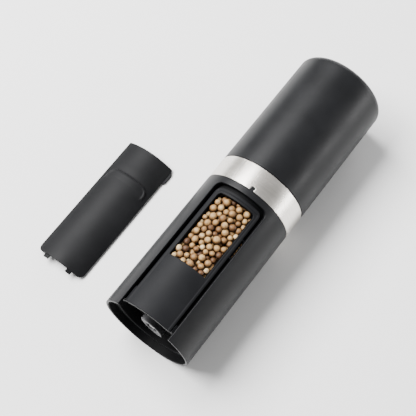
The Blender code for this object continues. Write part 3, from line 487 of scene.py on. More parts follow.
class Finishes:
    """Every finish of the mill, made once and shared by its pieces."""

    def __init__(self) -> None:
        """Makes the finishes, each under the record's slot name."""
        black = (0.0066, 0.0069, 0.0077)
        # Painted shade: the parts that sit inside the mill get a darker copy of the black plastic.
        inside = (0.004, 0.0041, 0.0044)
        white = (0.72, 0.7, 0.66)
        steel = (0.62, 0.61, 0.59)
        recipes = {
            "black_shell": MouldedPlastic("black_shell_plastic", black),
            "black_shell_upper": MouldedPlastic("upper_shell_plastic", black),
            "cover": MouldedPlastic("cover_plastic", (0.0072, 0.0074, 0.008), 0.5, 0.3, 0.1),
            "chamber": MouldedPlastic("chamber_plastic", (0.0075, 0.0078, 0.0088), 0.55, 0.3, 0.09),
            "button": MouldedPlastic("button_plastic", black, 0.42, 0.18),
            "retainer": MouldedPlastic("retainer_plastic", inside),
            "gearbox_case": MouldedPlastic("gearbox_plastic", inside),
            "holder": MouldedPlastic("holder_plastic", inside),
            "lid": MouldedPlastic("lid_plastic", inside),
            "cage": MouldedPlastic("cage_plastic", inside),
            "switch": MouldedPlastic("switch_plastic", (0.13, 0.13, 0.135), 0.4),
            "adjuster": WorkedMetal("coated_zinc", (0.075, 0.075, 0.078), 0.45, Lay.NONE, 0.3, 0.1),
            "paddle": MouldedPlastic("paddle_plastic", white, 0.4, 0.12),
            "ring_gear": MouldedPlastic("ring_gear_plastic", white, 0.38, 0.1),
            "output_carrier": MouldedPlastic("output_carrier_plastic", white, 0.38, 0.1),
            "upper_carrier": MouldedPlastic("upper_carrier_plastic", white, 0.38, 0.1),
            "planets": MouldedPlastic("planet_plastic", white, 0.36, 0.1),
            "band": WorkedMetal("brushed_band_steel", (0.78, 0.745, 0.69), 0.24, Lay.ROUND_AXIS, 0.5, 0.09),
            "shaft": WorkedMetal("ground_shaft_steel", steel, 0.2),
            "motor_shaft": WorkedMetal("motor_shaft_steel", steel, 0.18),
            "collar": WorkedMetal("collar_steel", (0.3, 0.3, 0.31), 0.35),
            "burr_spring": WorkedMetal("burr_spring_wire", steel, 0.25, Lay.NONE),
            "button_spring": WorkedMetal("button_spring_wire", steel, 0.25, Lay.NONE),
            "cell_springs": WorkedMetal("cell_spring_wire", steel, 0.3, Lay.NONE),
            "screws": WorkedMetal("zinc_screws", (0.5, 0.5, 0.48), 0.33, Lay.NONE, 0.2, 0.15),
            "motor_plate": WorkedMetal("zinc_plate", (0.48, 0.48, 0.47), 0.38, Lay.NONE, 0.2, 0.15),
            "motor_can": WorkedMetal("motor_can_steel", (0.6, 0.59, 0.57), 0.3),
            "pinion": WorkedMetal("brass_pinion", (0.62, 0.42, 0.16), 0.25),
            "bush": WorkedMetal("sintered_bronze", (0.5, 0.32, 0.14), 0.45, Lay.NONE, 0.6, 0.25),
            "cells": WorkedMetal("cell_jacket", (0.23, 0.24, 0.26), 0.32, Lay.ALONG_AXIS, 0.08, 0.05),
            "outer_burr": Ceramic("outer_burr_ceramic", (0.05, 0.05, 0.053)),
            "inner_burr": Ceramic("inner_burr_ceramic", (0.05, 0.05, 0.053)),
            "seal": Rubber("seal_rubber", (0.012, 0.012, 0.012)),
        }
        self.materials = {slot: recipe.make() for slot, recipe in recipes.items()}
        # Painted shade: a near-black copy of the plastic, put on deep faces in place of the shade that falls
        # there.
        self.shade = MouldedPlastic("painted_shade_plastic", (0.0016, 0.0017, 0.002), 0.62, 0.2, 0.1).make()
        self.corns = PeppercornSkin("peppercorn_skin", Peppercorns.TONE, Peppercorns.LIT).make()

    def of(self, slot: str) -> bpy.types.Material:
        """Material of a slot."""
        return self.materials[slot]

    def dress_carried_nodes(self) -> int:
        """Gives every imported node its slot's material.

        Returns:
            How many nodes were dressed.
        """
        for name, node in frame["nodes"].items():
            node.data.materials.clear()
            node.data.materials.append(self.of(slot_of_node(name)))
        return len(frame["nodes"])


# ------------------------------------------------------------------ shapes


def rounded(corners: list[Point3], steps: int) -> list[Point2]:
    """Closed outline whose corners are rounded by arcs.

    Args:
        corners: Corner points in order, each with its radius.
        steps: Number of pieces in each arc.

    Returns:
        The points of the outline.
    """
    points: list[Point2] = []
    count = len(corners)
    for index, (x, y, radius) in enumerate(corners):
        if radius <= 0.0:
            points.append((x, y))
            continue
        here = Vector((x, y))
        before = (Vector(corners[index - 1][:2]) - here).normalized()
        after = (Vector(corners[(index + 1) % count][:2]) - here).normalized()
        half = before.angle(after) / 2
        reach = radius / math.tan(half)
        centre = here + (before + after).normalized() * (radius / math.sin(half))
        first = here + before * reach - centre
        turn = (here + after * reach - centre).angle_signed(first)
        for step in range(steps + 1):
            arm = first.copy()
            arm.rotate(Matrix.Rotation(turn * step / steps, 2))
            points.append(tuple(centre + arm))
    return points


def welded(bm: bmesh.types.BMesh, reach: float) -> bmesh.types.BMesh:
    """Joins the points of a mesh that lie within a reach, and turns its faces outward."""
    bmesh.ops.remove_doubles(bm, verts=bm.verts, dist=reach)
    bmesh.ops.recalc_face_normals(bm, faces=bm.faces)
    return bm


def cut(bm: bmesh.types.BMesh, place: Vector, normal: Vector, clear: bool = False) -> None:
    """Cuts a mesh along a plane.

    Args:
        bm: The mesh.
        place: A point of the plane.
        normal: The plane's normal.
        clear: Whether what lies beyond the plane is taken away.
    """
    everything = bm.verts[:] + bm.edges[:] + bm.faces[:]
    bmesh.ops.bisect_plane(
        bm, geom=everything, plane_co=place, plane_no=normal, dist=0.0001, clear_outer=clear
    )


def eased(value: float) -> float:
    """Smooth step from 0 to 1 over a value that runs from 0 to 1."""
    share = min(max(value, 0.0), 1.0)
    return share * share * (3 - 2 * share)


def four_sided(
    sides: Point2, ends: Point2, low_corner: float, high_corner: float, steps: int
) -> list[Point2]:
    """Four-sided outline with its own corner radius at each end.

    Args:
        sides: Its lowest and highest X.
        ends: Its lowest and highest Y.
        low_corner: Radius of the corners at the low end.
        high_corner: Radius of the corners at the high end.
        steps: Number of pieces in each corner.

    Returns:
        The points of the outline.
    """
    (left, right), (low, high) = sides, ends
    corners = [(left, low, low_corner), (right, low, low_corner)]
    corners += [(right, high, high_corner), (left, high, high_corner)]
    return rounded(corners, steps)


def plate(outlines: list[list[Point2]], thickness: float, edge: float, steps: int = 2) -> bmesh.types.BMesh:
    """Flat plate with rounded edges, from closed outlines; inner outlines are holes.

    Args:
        outlines: The outer outline first, then the holes.
        thickness: Thickness of the plate, centred on Z = 0.
        edge: Radius of the rounded edges.
        steps: Number of pieces in each rounded edge.

    Returns:
        The plate's mesh.
    """
    curve = bpy.data.curves.new("plate_outline", "CURVE")
    curve.dimensions = "2D"
    curve.fill_mode = "BOTH"
    curve.extrude = thickness / 2 - edge
    curve.bevel_depth = edge
    curve.bevel_resolution = steps
    curve.offset = -edge
    for outline in outlines:
        spline = curve.splines.new("POLY")
        spline.points.add(len(outline) - 1)
        for point, (x, y) in zip(spline.points, outline):
            point.co = (x, y, 0.0, 1.0)
        spline.use_cyclic_u = True
    holder = bpy.data.objects.new("plate_outline", curve)
    bm = bmesh.new()
    bm.from_mesh(holder.to_mesh())
    holder.to_mesh_clear()
    bpy.data.objects.remove(holder)
    bpy.data.curves.remove(curve)
    return welded(bm, 0.0005)


def slice_up(bm: bmesh.types.BMesh, axis: int, places: list[float]) -> None:
    """Cuts edges into a mesh at places along an axis, so that it can bend.

    Args:
        bm: The mesh.
        axis: 0, 1 or 2.
        places: Where to cut.
    """
    normal = Vector((0.0, 0.0, 0.0))
    normal[axis] = 1.0
    for place in places:
        cut(bm, normal * place, normal)


def bend(bm: bmesh.types.BMesh, arc_radius: float, middle_radius: float, step: float = 1.2) -> None:
    """Bends a flat plate round the mill's axis.

    The plate's X runs round the axis from the window's middle line, its Y runs up the axis,
    and its Z is the distance outside the middle radius.

    Args:
        bm: The flat plate, which is changed.
        arc_radius: Radius at which the plate's X lengths are true.
        middle_radius: Radius of the middle of the plate's thickness.
        step: Longest straight piece round the bend.
    """
    reach = max(abs(vert.co.x) for vert in bm.verts)
    count = int(reach / step)
    slice_up(bm, 0, [reach * k / (count + 0.5) for k in range(-count, count + 1)])
    for vert in bm.verts:
        angle = vert.co.x / arc_radius
        radius = middle_radius + vert.co.z
        vert.co = (-radius * math.cos(angle), radius * math.sin(angle), vert.co.y)


def bent_ring(
    outline: list[Point2], holes: list[list[Point2]], inner: float, outer: float, edge: float
) -> bmesh.types.BMesh:
    """Full tube bent from a flat plate, with holes, notches and rounded edges.

    Args:
        outline: Outline whose ends run past half a turn each way.
        holes: Outlines of holes.
        inner: Inner radius.
        outer: Outer radius, at which the outline's lengths are true.
        edge: Radius of the rounded edges.

    Returns:
        The tube's mesh.
    """
    bm = plate([outline, *holes], outer - inner, edge)
    for side in (-1.0, 1.0):
        cut(bm, Vector((side * math.pi * outer, 0.0, 0.0)), Vector((side, 0.0, 0.0)), clear=True)
    bend(bm, outer, (inner + outer) / 2)
    return welded(bm, 0.002)


def turned(profile: list[Point2], steps: int, closed: bool = True) -> bmesh.types.BMesh:
    """Solid turned round the axis from a profile of radius and height.

    Args:
        profile: Points in order; an open profile starts and ends on the axis.
        steps: Number of pieces round.
        closed: Whether the last point joins the first.

    Returns:
        The turned mesh.
    """
    bm = bmesh.new()
    verts = [bm.verts.new((radius, 0.0, height)) for radius, height in profile]
    pairs = list(zip(verts, verts[1:]))
    if closed:
        pairs.append((verts[-1], verts[0]))
    edges = [bm.edges.new(pair) for pair in pairs]
    bmesh.ops.spin(
        bm,
        geom=verts + edges,
        cent=(0.0, 0.0, 0.0),
        axis=(0.0, 0.0, 1.0),
        angle=2 * math.pi,
        steps=steps,
        use_merge=True,
    )
    return welded(bm, 0.0005)


def soften(profile: Sequence[Point2], edge: float) -> list[Point2]:
    """Closed profile with every corner off the axis rounded.

    Args:
        profile: Points of radius and height.
        edge: Largest corner radius; short sides get less.

    Returns:
        The softened profile.
    """
    corners = []
    for index, (x, y) in enumerate(profile):
        before = profile[index - 1]
        after = profile[(index + 1) % len(profile)]
        shortest = min(math.dist((x, y), before), math.dist((x, y), after))
        first = Vector((before[0] - x, before[1] - y))
        second = Vector((after[0] - x, after[1] - y))
        half = first.angle(second) / 2
        limit = 0.45 * shortest * math.tan(half)
        corners.append((x, y, 0.0 if x < 0.01 else min(edge, limit)))
    return rounded(corners, 3)


def merge(target: bmesh.types.BMesh, *others: bmesh.types.BMesh) -> bmesh.types.BMesh:
    """Adds the other meshes to the first.

    Args:
        target: The mesh that grows.
        others: Meshes that are added and freed.

    Returns:
        The target.
    """
    for other in others:
        holder = bpy.data.meshes.new("merge")
        other.to_mesh(holder)
        other.free()
        target.from_mesh(holder)
        bpy.data.meshes.remove(holder)
    return target


def shade_inside(piece: bpy.types.Object, material: bpy.types.Material, radius: float, low: float) -> None:
    """Gives the deep faces of a shell a near-black painted shade, where little light reaches.

    Args:
        piece: The piece, already in place.
        material: The near-black material that paints the shade.
        radius: Distance from the mill's axis, in millimetres, inside which faces count as deep.
        low: Height up the axis, in millimetres, below which the rim's edge keeps its own finish.
    """
    piece.data.materials.append(material)
    for face in piece.data.polygons:
        across = math.hypot(face.center.y - FRAME.across, face.center.z - FRAME.height) / MM
        # Painted shade on faces that lie deep inside the shell.
        if across < radius and (face.center.x - FRAME.rim) / MM > low:
            face.material_index = 1


def file_piece(
    bm: bmesh.types.BMesh,
    name: str,
    material: bpy.types.Material,
    node: str | None = None,
    place: Matrix | None = None,
    body: str | None = None,
    sharp: float = 32.0,
    weighted: bool = True,
) -> bpy.types.Object:
    """Makes a finished piece of a mesh in the mill's frame, and says what it rides on.

    Args:
        bm: The mesh in millimetres, which is freed.
        name: Name of the piece.
        material: Its finish.
        node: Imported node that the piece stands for.
        place: Placement within the mill's frame, in millimetres.
        body: Body to ride on, where the piece stands for no node.
        sharp: Angle in degrees above which an edge stays sharp.
        weighted: Whether large faces keep their own normals.

    Returns:
        The piece.
    """
    matrix = FRAME.matrix() @ (place or Matrix.Identity(4))
    bm.transform(matrix)
    if matrix.determinant() < 0:
        bmesh.ops.reverse_faces(bm, faces=bm.faces)
    mesh = bpy.data.meshes.new(name)
    bm.to_mesh(mesh)
    bm.free()
    mesh.materials.append(material)
    mesh.shade_smooth()
    mesh.set_sharp_from_angle(angle=math.radians(sharp))
    piece = bpy.data.objects.new(name, mesh)
    bpy.context.scene.collection.objects.link(piece)
    if weighted:
        modifier = piece.modifiers.new("face_normals", "WEIGHTED_NORMAL")
        modifier.keep_sharp = True
        modifier.weight = 80
    if node is not None:
        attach(piece, body_of_node(node))
        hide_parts(node)
    else:
        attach(piece, body)
    return piece


# ------------------------------------------------------------------ the lower half


@dataclass
class LowerHousing:
    """Outer shell of the lower half: the cover's seat, the neck and the band's key.

    Attributes:
        sizes: Shared sizes of the mill.
        edge: Radius of the shell's edges.
        rim_flare: Height over which the wall thins towards the rim.
        rim_wall: Thickness of the wall at the rim.
        seat_mouth: Radius of the seat's corners at the rim.
        neck_radius: Radius of the neck that the upper half slides on.
        neck_inner: Inner radius of the neck.
        groove_low: Start of the seal's groove above the band.
        groove_high: End of the seal's groove above the band.
        groove_depth: Depth of the groove.
        neck_top: Top of the neck.
    """

    sizes: MillSizes
    edge: float = 0.35
    rim_flare: float = 1.8
    rim_wall: float = 1.4
    seat_mouth: float = 0.7
    neck_radius: float = 26.0
    neck_inner: float = 24.2
    groove_low: float = 3.2
    groove_high: float = 5.0
    groove_depth: float = 1.05
    neck_top: float = field(default_factory=lambda: (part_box("lower_housing")[1][0] - FRAME.rim) / MM)

    def shell(self) -> bmesh.types.BMesh:
        """Shell with the long seat open to the rim.

        Returns:
            The shell's mesh.
        """
        s = self.sizes
        ends = math.pi * s.radius + RING_SPARE
        seat = s.around(s.seat_half, s.radius)
        left = [(-ends, 0.0, 0.0), (-seat, 0.0, self.seat_mouth), (-seat, s.seat_top, s.seat_corner)]
        right = [(-x, y, radius) for x, y, radius in reversed(left)]
        outline = rounded([*left, *right, (ends, s.shoulder, 0.0), (-ends, s.shoulder, 0.0)], 8)
        bm = bent_ring(outline, [], s.radius - s.wall, s.radius, self.edge)
        thin = s.wall - self.rim_wall
        for vert in bm.verts:
            radius = math.hypot(vert.co.x, vert.co.y)
            if vert.co.z < self.rim_flare and radius < s.radius - s.wall / 2:
                wanted = radius + thin * (1.0 - vert.co.z / self.rim_flare)
                vert.co.x *= wanted / radius
                vert.co.y *= wanted / radius
        return bm

    def neck(self) -> bmesh.types.BMesh:
        """Neck under the band and inside the upper half, with the seal's groove."""
        under = self.sizes.radius - 1.0
        low = self.sizes.shoulder - 0.4
        top = self.sizes.band_top
        profile = [
            (self.neck_radius, self.neck_top),
            (self.neck_radius, top + self.groove_high),
            (self.neck_radius - self.groove_depth, top + self.groove_high),
            (self.neck_radius - self.groove_depth, top + self.groove_low),
            (self.neck_radius, top + self.groove_low),
            (self.neck_radius, top + 0.3),
            (under, top + 0.3),
            (under, low),
            (self.neck_inner, low),
            (self.neck_inner, self.neck_top),
        ]
        return turned(soften(profile, 0.3), 128)

    def key(self) -> bmesh.types.BMesh:
        """Small key that stands up into the band's notch."""
        s = self.sizes
        middle = s.key_angle * s.radius
        half = s.key_width / 2
        ends = (s.shoulder - 1.0, s.shoulder + s.key_height)
        outline = four_sided((middle - half, middle + half), ends, 0.0, 0.45, 4)
        bm = plate([outline], 1.6, 0.15)
        bend(bm, s.radius, s.radius - 0.82, 0.6)
        return bm

    def build(self, finishes: Finishes) -> bpy.types.Object:
        """Builds the housing in its finish."""
        bm = merge(self.shell(), self.neck(), self.key())
        piece = file_piece(bm, "lower_shell", finishes.of("black_shell"), "lower_housing")
        # Painted shade on the shell's inner faces and the walls of the cover's seat.
        shade_inside(piece, finishes.shade, self.sizes.radius - 0.45, 0.35)
        return piece


@dataclass
class SteelBand:
    """Brushed band round the joint of the two halves, with a notch for the key.

    Attributes:
        sizes: Shared sizes of the mill.
        thickness: Thickness of the band.
        notch_gap: Gap round the key.
    """

    sizes: MillSizes
    thickness: float = 0.8
    notch_gap: float = 0.3

    def build(self, finishes: Finishes) -> bpy.types.Object:
        """Builds the band in its finish."""
        s = self.sizes
        ends = math.pi * s.radius + RING_SPARE
        middle = s.key_angle * s.radius
        half = s.key_width / 2 + self.notch_gap
        depth = s.shoulder + s.key_height + self.notch_gap
        left = [(-ends, s.band_bottom, 0.0), (middle - half, s.band_bottom, 0.2), (middle - half, depth, 0.5)]
        right = [(middle + half, depth, 0.5), (middle + half, s.band_bottom, 0.2), (ends, s.band_bottom, 0.0)]
        outline = rounded([*left, *right, (ends, s.band_top, 0.0), (-ends, s.band_top, 0.0)], 4)
        bm = bent_ring(outline, [], s.radius - self.thickness, s.radius, 0.18)
        return file_piece(bm, "brushed_band", finishes.of("band"), "steel_band")


@dataclass
class GrainChamber:
    """Tube that holds the peppercorns, its raised panel with the window, and the burr seat.

    Attributes:
        sizes: Shared sizes of the mill.
        panel_edge: Radius of the panel's edges.
        lip_width: Width of the raised lip along the panel's border.
        lip_height: Height of that lip.
        lip_ramp: Width over which the lip rises.
        slot_bottom: Start of the release slot beside the window.
        slot_length: Length of the release slot.
        foot: Height of the short step at the near groove's end.
        skirt: Inner radius of the skirt at the rim.
        seat_face: Height of the face that the retainer lies on.
        burr_hole: Radius of the hole for the outer burr.
        throat: Radius of the funnel's narrow end.
        funnel_bottom: Height of the funnel's underside.
        funnel_top: Height at which the funnel meets the wall.
    """

    sizes: MillSizes
    panel_edge: float = 0.45
    lip_width: float = 1.5
    lip_height: float = 0.35
    lip_ramp: float = 0.7
    slot_bottom: float = 57.2
    slot_length: float = 11.5
    foot: float = 9.5
    skirt: float = 22.8
    seat_face: float = 13.7
    burr_hole: float = 17.2
    throat: float = 14.8
    funnel_bottom: float = 26.0
    funnel_top: float = 33.5

    def window_outline(self, radius: float) -> list[Point2]:
        """Outline of the window on a sheet of a given radius."""
        s = self.sizes
        half = s.around(s.window_half, radius)
        return four_sided((-half, half), (s.window_bottom, s.window_top), 0.5, s.window_corner, 5)

    def tube(self) -> bmesh.types.BMesh:
        """Inner tube, whose outside is the floor of the grooves."""
        s = self.sizes
        ends = math.pi * s.tube_outer + RING_SPARE
        outline = [(-ends, 30.0), (ends, 30.0), (ends, s.chamber_top), (-ends, s.chamber_top)]
        near = -s.around(s.panel_half + 0.35, s.tube_outer)
        far = -s.around(s.panel_half + 1.75, s.tube_outer)
        slot = four_sided((far, near), (self.slot_bottom, self.slot_bottom + self.slot_length), 0.3, 0.3, 3)
        holes = [self.window_outline(s.tube_outer), slot]
        return bent_ring(outline, holes, s.chamber_inner, s.tube_outer, 0.1)

    def sleeve(self) -> bmesh.types.BMesh:
        """Thicker part of the tube round its back, under the outer shell."""
        s = self.sizes
        start = s.around(s.seat_half + 0.9, s.sleeve_outer)
        turn = 2 * math.pi * s.sleeve_outer
        sides = (start - turn / 2, turn - start - turn / 2)
        outline = four_sided(sides, (s.chamber_bottom, s.chamber_top), 0.0, 0.0, 0)
        bm = plate([outline], s.sleeve_outer - s.tube_outer + 0.1, 0.2)
        bend(bm, s.sleeve_outer, (s.sleeve_outer + s.tube_outer - 0.1) / 2)
        bmesh.ops.rotate(bm, verts=bm.verts, cent=(0, 0, 0), matrix=Matrix.Rotation(math.pi, 3, "Z"))
        return bm

    def lip(self, x: float, y: float, half: float) -> float:
        """Height of the lip at a place on the panel.

        Args:
            x: Distance round from the middle line.
            y: Height up the axis.
            half: Half the panel's width.

        Returns:
            Height above the panel's field.
        """
        s = self.sizes
        inner_half = half - self.lip_width
        inner_top = s.panel_top - self.lip_width
        corner = s.panel_corner - self.lip_width
        dx = max(abs(x) - (inner_half - corner), 0.0)
        dy = max(y - (inner_top - corner), 0.0)
        beyond = math.hypot(dx, dy) - corner
        return self.lip_height * eased(beyond / self.lip_ramp + 0.5)

    def panel(self) -> bmesh.types.BMesh:
        """Raised panel with a low lip along its border and the window through it."""
        s = self.sizes
        half = s.around(s.panel_half, s.panel_radius)
        outline = four_sided((-half, half), (s.chamber_bottom - 0.6, s.panel_top), 0.5, s.panel_corner, 10)
        inner = s.chamber_inner + 0.2
        bm = plate([outline, self.window_outline(s.panel_radius)], s.panel_radius - inner, self.panel_edge, 3)
        fine = [side * (half - 0.25 * k) for k in range(2, 10) for side in (-1, 1)]
        slice_up(bm, 0, fine)
        slice_up(bm, 1, [s.panel_top - 0.25 * k for k in range(2, 10)])
        top = (s.panel_radius - inner) / 2
        for vert in bm.verts:
            if vert.co.z > 0.0:
                vert.co.z += (self.lip(vert.co.x, vert.co.y, half) - self.lip_height) * vert.co.z / top
        bend(bm, s.panel_radius, (inner + s.panel_radius) / 2, 1.0)
        return bm

    def foot_step(self) -> bmesh.types.BMesh:
        """Short raised step that closes the near groove's end, and the snap block of the far one."""
        s = self.sizes
        pieces = []
        bottom = s.chamber_bottom
        groove = (s.panel_half + 0.8, s.seat_half + 0.6)
        for across, ends, sunk in (
            ((-s.seat_half - 0.6, -s.panel_half - 0.3), (bottom, self.foot), 0.3),
            (groove, (bottom + 0.4, bottom + 1.8), 0.9),
            (groove, (10.4, 11.6), 0.9),
            ((s.panel_half + 0.2, s.panel_half + 0.9), (bottom + 0.4, 14.2), 0.7),
        ):
            outer = s.panel_radius - sunk
            sides = sorted(math.copysign(s.around(abs(y), outer), y) for y in across)
            outline = four_sided(sides, ends, 0.2, 0.2, 3)
            bm = plate([outline], outer - s.tube_outer + 0.8, 0.12)
            bend(bm, outer, (outer + s.tube_outer - 0.8) / 2)
            pieces.append(bm)
        return merge(*pieces)

    def slot_frame(self) -> bmesh.types.BMesh:
        """Raised frame round the release slot in the near groove."""
        s = self.sizes
        outer = s.panel_radius - 0.25
        left, right = (-s.around(reach, outer) for reach in (s.seat_half - 0.15, s.panel_half - 0.3))
        low = self.slot_bottom - 0.9
        high = self.slot_bottom + self.slot_length + 0.9
        outline = four_sided((left, right), (low, high), 0.3, 0.3, 3)
        hole = four_sided((left + 0.45, right - 0.45), (low + 0.8, high - 0.8), 0.25, 0.25, 3)
        bm = plate([outline, hole], 0.9, 0.15)
        bend(bm, outer, outer - 0.45)
        return bm

    def burr_seat(self) -> bmesh.types.BMesh:
        """Skirt, burr seat and funnel at the grinding end."""
        s = self.sizes
        profile = [
            (s.tube_outer, self.funnel_top + 1.0),
            (s.tube_outer, s.chamber_bottom),
            (self.skirt, s.chamber_bottom),
            (self.skirt, self.seat_face),
            (self.burr_hole, self.seat_face),
            (self.burr_hole, self.funnel_bottom),
            (self.throat, self.funnel_bottom),
            (self.throat, self.funnel_bottom + 1.0),
            (s.chamber_inner, self.funnel_top),
            (s.chamber_inner, self.funnel_top + 1.0),
        ]
        return turned(soften(profile, 0.4), 128)

    def build(self, finishes: Finishes) -> bpy.types.Object:
        """Builds the chamber in its finish."""
        bm = merge(
            self.tube(), self.sleeve(), self.panel(), self.foot_step(), self.slot_frame(), self.burr_seat()
        )
        piece = file_piece(bm, "chamber_shell", finishes.of("chamber"), "grain_chamber")
        # Painted shade on the chamber faces that lie inside the sleeve's radius, such as the groove floors.
        shade_inside(piece, finishes.shade, self.sizes.sleeve_outer + 0.05, 4.7)
        return piece


# ------------------------------------------------------------------ the refill cover


@dataclass
class RefillCover:
    """Curved cover with its thumb grip, side hook and end tabs, laid on its edges.

    Attributes:
        sizes: Shared sizes of the mill.
        half_width: Half its width, straight across.
        thickness: Thickness of its wall.
        bottom: Its end at the rim when seated.
        top: Its end at the band when seated.
        corner: Radius of the corners at the tabs' end.
        grip: Height at which the thumb grip crosses.
        grip_half: Half the width of the grip.
        grip_corner: Radius of the grip's bends.
        grip_arm: Length of the grip's arms after the bends.
        grip_rise: Height of the grip's thin ridge.
        grip_step: Height of the low plateau behind the ridge.
        grip_scoop: Depth of the hollow outside the ridge.
        grip_ridge: Half the width of the ridge.
        grip_plateau: How far the plateau reaches behind the ridge.
        grip_fall: Width of the slope from the ridge down to the hollow.
        grip_hollow: How far the hollow reaches.
        tab_side: Distance of each end tab from the middle line.
        tab_half: Half a tab's width.
        tab_reach: How far a tab stands out past the end.
        seated_radius: Outer radius at the long edges, as seated.
        rest_drop: Distance from the mill's axis down to the surface that the cover lies on.
        beside: Distance from the mill's axis to the cover's middle.
        shift: How far up the axis the laid cover's own middle lies.
    """

    sizes: MillSizes
    half_width: float = 16.9
    thickness: float = 1.4
    bottom: float = 0.3
    top: float = 89.5
    corner: float = 4.0
    grip: float = 21.2
    grip_half: float = 14.2
    grip_corner: float = 4.6
    grip_arm: float = 3.4
    grip_rise: float = 0.5
    grip_step: float = 0.3
    grip_scoop: float = 0.4
    grip_ridge: float = 0.62
    grip_plateau: float = 4.0
    grip_fall: float = 0.8
    grip_hollow: float = 3.0
    tab_side: float = 8.6
    tab_half: float = 1.9
    tab_reach: float = 2.0
    seated_radius: float = 28.5
    rest_drop: float = 28.3628
    beside: float = 75.0
    shift: float = 52.3

    def edge_drop(self) -> float:
        """Distance from the mill's axis to the cover's long edges when seated."""
        inner = self.seated_radius - self.thickness
        return math.sqrt(inner**2 - self.half_width**2)

    def placement(self) -> Matrix:
        """Placement of the laid cover within the mill's frame."""
        middle = (self.bottom + self.top) / 2
        move = Matrix.Translation((self.rest_drop + self.edge_drop(), self.beside, self.shift + middle))
        return move @ Matrix.Rotation(math.pi, 4, "X")

    def relief(self, x: float, y: float) -> float:
        """Height of the thumb grip's relief at a place on the cover.

        Args:
            x: Distance round from the middle line.
            y: Height up the axis when seated.

        Returns:
            Height above the plain curved surface.
        """
        straight = self.grip_half - self.grip_corner
        across = max(abs(x) - straight, 0.0)
        down = self.grip + self.grip_corner + 0.002 * x * x - y
        if down > 0.0:
            outside = math.hypot(across, down) - self.grip_corner
        else:
            outside = abs(x) - self.grip_half
        fade = eased(1.0 + (down + 0.5) / self.grip_arm)
        ridge = self.grip_rise * math.exp(-(((outside + 0.2) / self.grip_ridge) ** 2))
        if outside < 0.0:
            return fade * (ridge + self.grip_step * math.exp(-((outside / self.grip_plateau) ** 2)))
        fall = min(outside / self.grip_fall, 1.0)
        hollow = math.exp(-((max(outside - self.grip_fall, 0.0) / self.grip_hollow) ** 2))
        return fade * (ridge + self.grip_step * (1.0 - fall) - self.grip_scoop * fall * hollow)

    def body(self) -> bmesh.types.BMesh:
        """Curved plate with the grip's relief on its outside."""
        radius = self.sizes.radius
        half = self.sizes.around(self.half_width, radius)
        outline = four_sided((-half, half), (self.bottom, self.top), 0.5, self.corner, 10)
        bm = plate([outline], self.thickness, 0.32, 3)
        slice_up(bm, 1, [self.grip - 6.0 + 0.35 * k for k in range(60)])
        slice_up(bm, 0, [half * k / 50.5 for k in range(-50, 51)])
        for vert in bm.verts:
            if vert.co.z > self.thickness / 2 - 0.01:
                vert.co.z += self.relief(vert.co.x, vert.co.y)
        bend(bm, radius, radius - self.thickness / 2, 1.0)
        return bm

    def tabs(self) -> bmesh.types.BMesh:
        """The two tabs that catch under the seat's far end."""
        radius = self.sizes.radius - 0.55
        pieces = []
        for side in (-1, 1):
            middle = side * self.sizes.around(self.tab_side, radius)
            ends = (self.top - 2.5, self.top + self.tab_reach)
            outline = four_sided((middle - self.tab_half, middle + self.tab_half), ends, 0.2, 0.35, 3)
            bm = plate([outline], 1.1, 0.15)
            bend(bm, radius, radius - 0.72, 0.8)
            pieces.append(bm)
        return merge(*pieces)

    def hook(self) -> bmesh.types.BMesh:
        """Snap hook on the edge that faces the mill."""
        root, tip = self.half_width - 1.6, self.half_width + 1.2
        base = [(1.6, root, 0.2), (11.5, root, 0.2), (11.0, self.half_width + 0.5, 0.3)]
        nose = [(9.4, tip, 0.5), (3.4, tip, 0.5), (1.9, self.half_width + 0.2, 0.3)]
        outline = rounded(base + nose, 3)
        bm = plate([outline], 1.5, 0.2)
        low = -self.edge_drop() - 0.82
        for vert in bm.verts:
            vert.co = (low + vert.co.z, vert.co.y, vert.co.x)
        return bm

    def build(self, finishes: Finishes) -> bpy.types.Object:
        """Builds the cover in its finish."""
        bm = merge(self.body(), self.tabs(), self.hook())
        bmesh.ops.recalc_face_normals(bm, faces=bm.faces)
        return file_piece(bm, "cover_shell", finishes.of("cover"), "refill_cover", self.placement())


# ------------------------------------------------------------------ turned pieces


@dataclass(frozen=True)
class TurnedPiece:
    """One piece turned from a profile.

    Attributes:
        name: Name of the piece.
        node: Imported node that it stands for.
        profile: Points of radius and height.
        edge: Radius of its corners.
        steps: Number of pieces round.
        offset: Place of its own axis beside the mill's axis.
        closed: Whether the profile is a closed loop off the axis.
    """

    name: str
    node: str
    profile: tuple[Point2, ...]
    edge: float = 0.3
    steps: int = 96
    offset: Point2 = (0.0, 0.0)
    closed: bool = True

    def build(self, finishes: Finishes) -> bpy.types.Object:
        """Turns the piece in its finish."""
        bm = turned(soften(self.profile, self.edge), self.steps, self.closed)
        place = Matrix.Translation((*self.offset, 0.0))
        return file_piece(bm, self.name, finishes.of(slot_of_node(self.node)), self.node, place)


def height_of(node: str) -> tuple[float, float]:
    """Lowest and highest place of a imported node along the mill's axis, in millimetres."""
    low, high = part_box(node)
    return (low[0] - FRAME.rim) / MM, (high[0] - FRAME.rim) / MM


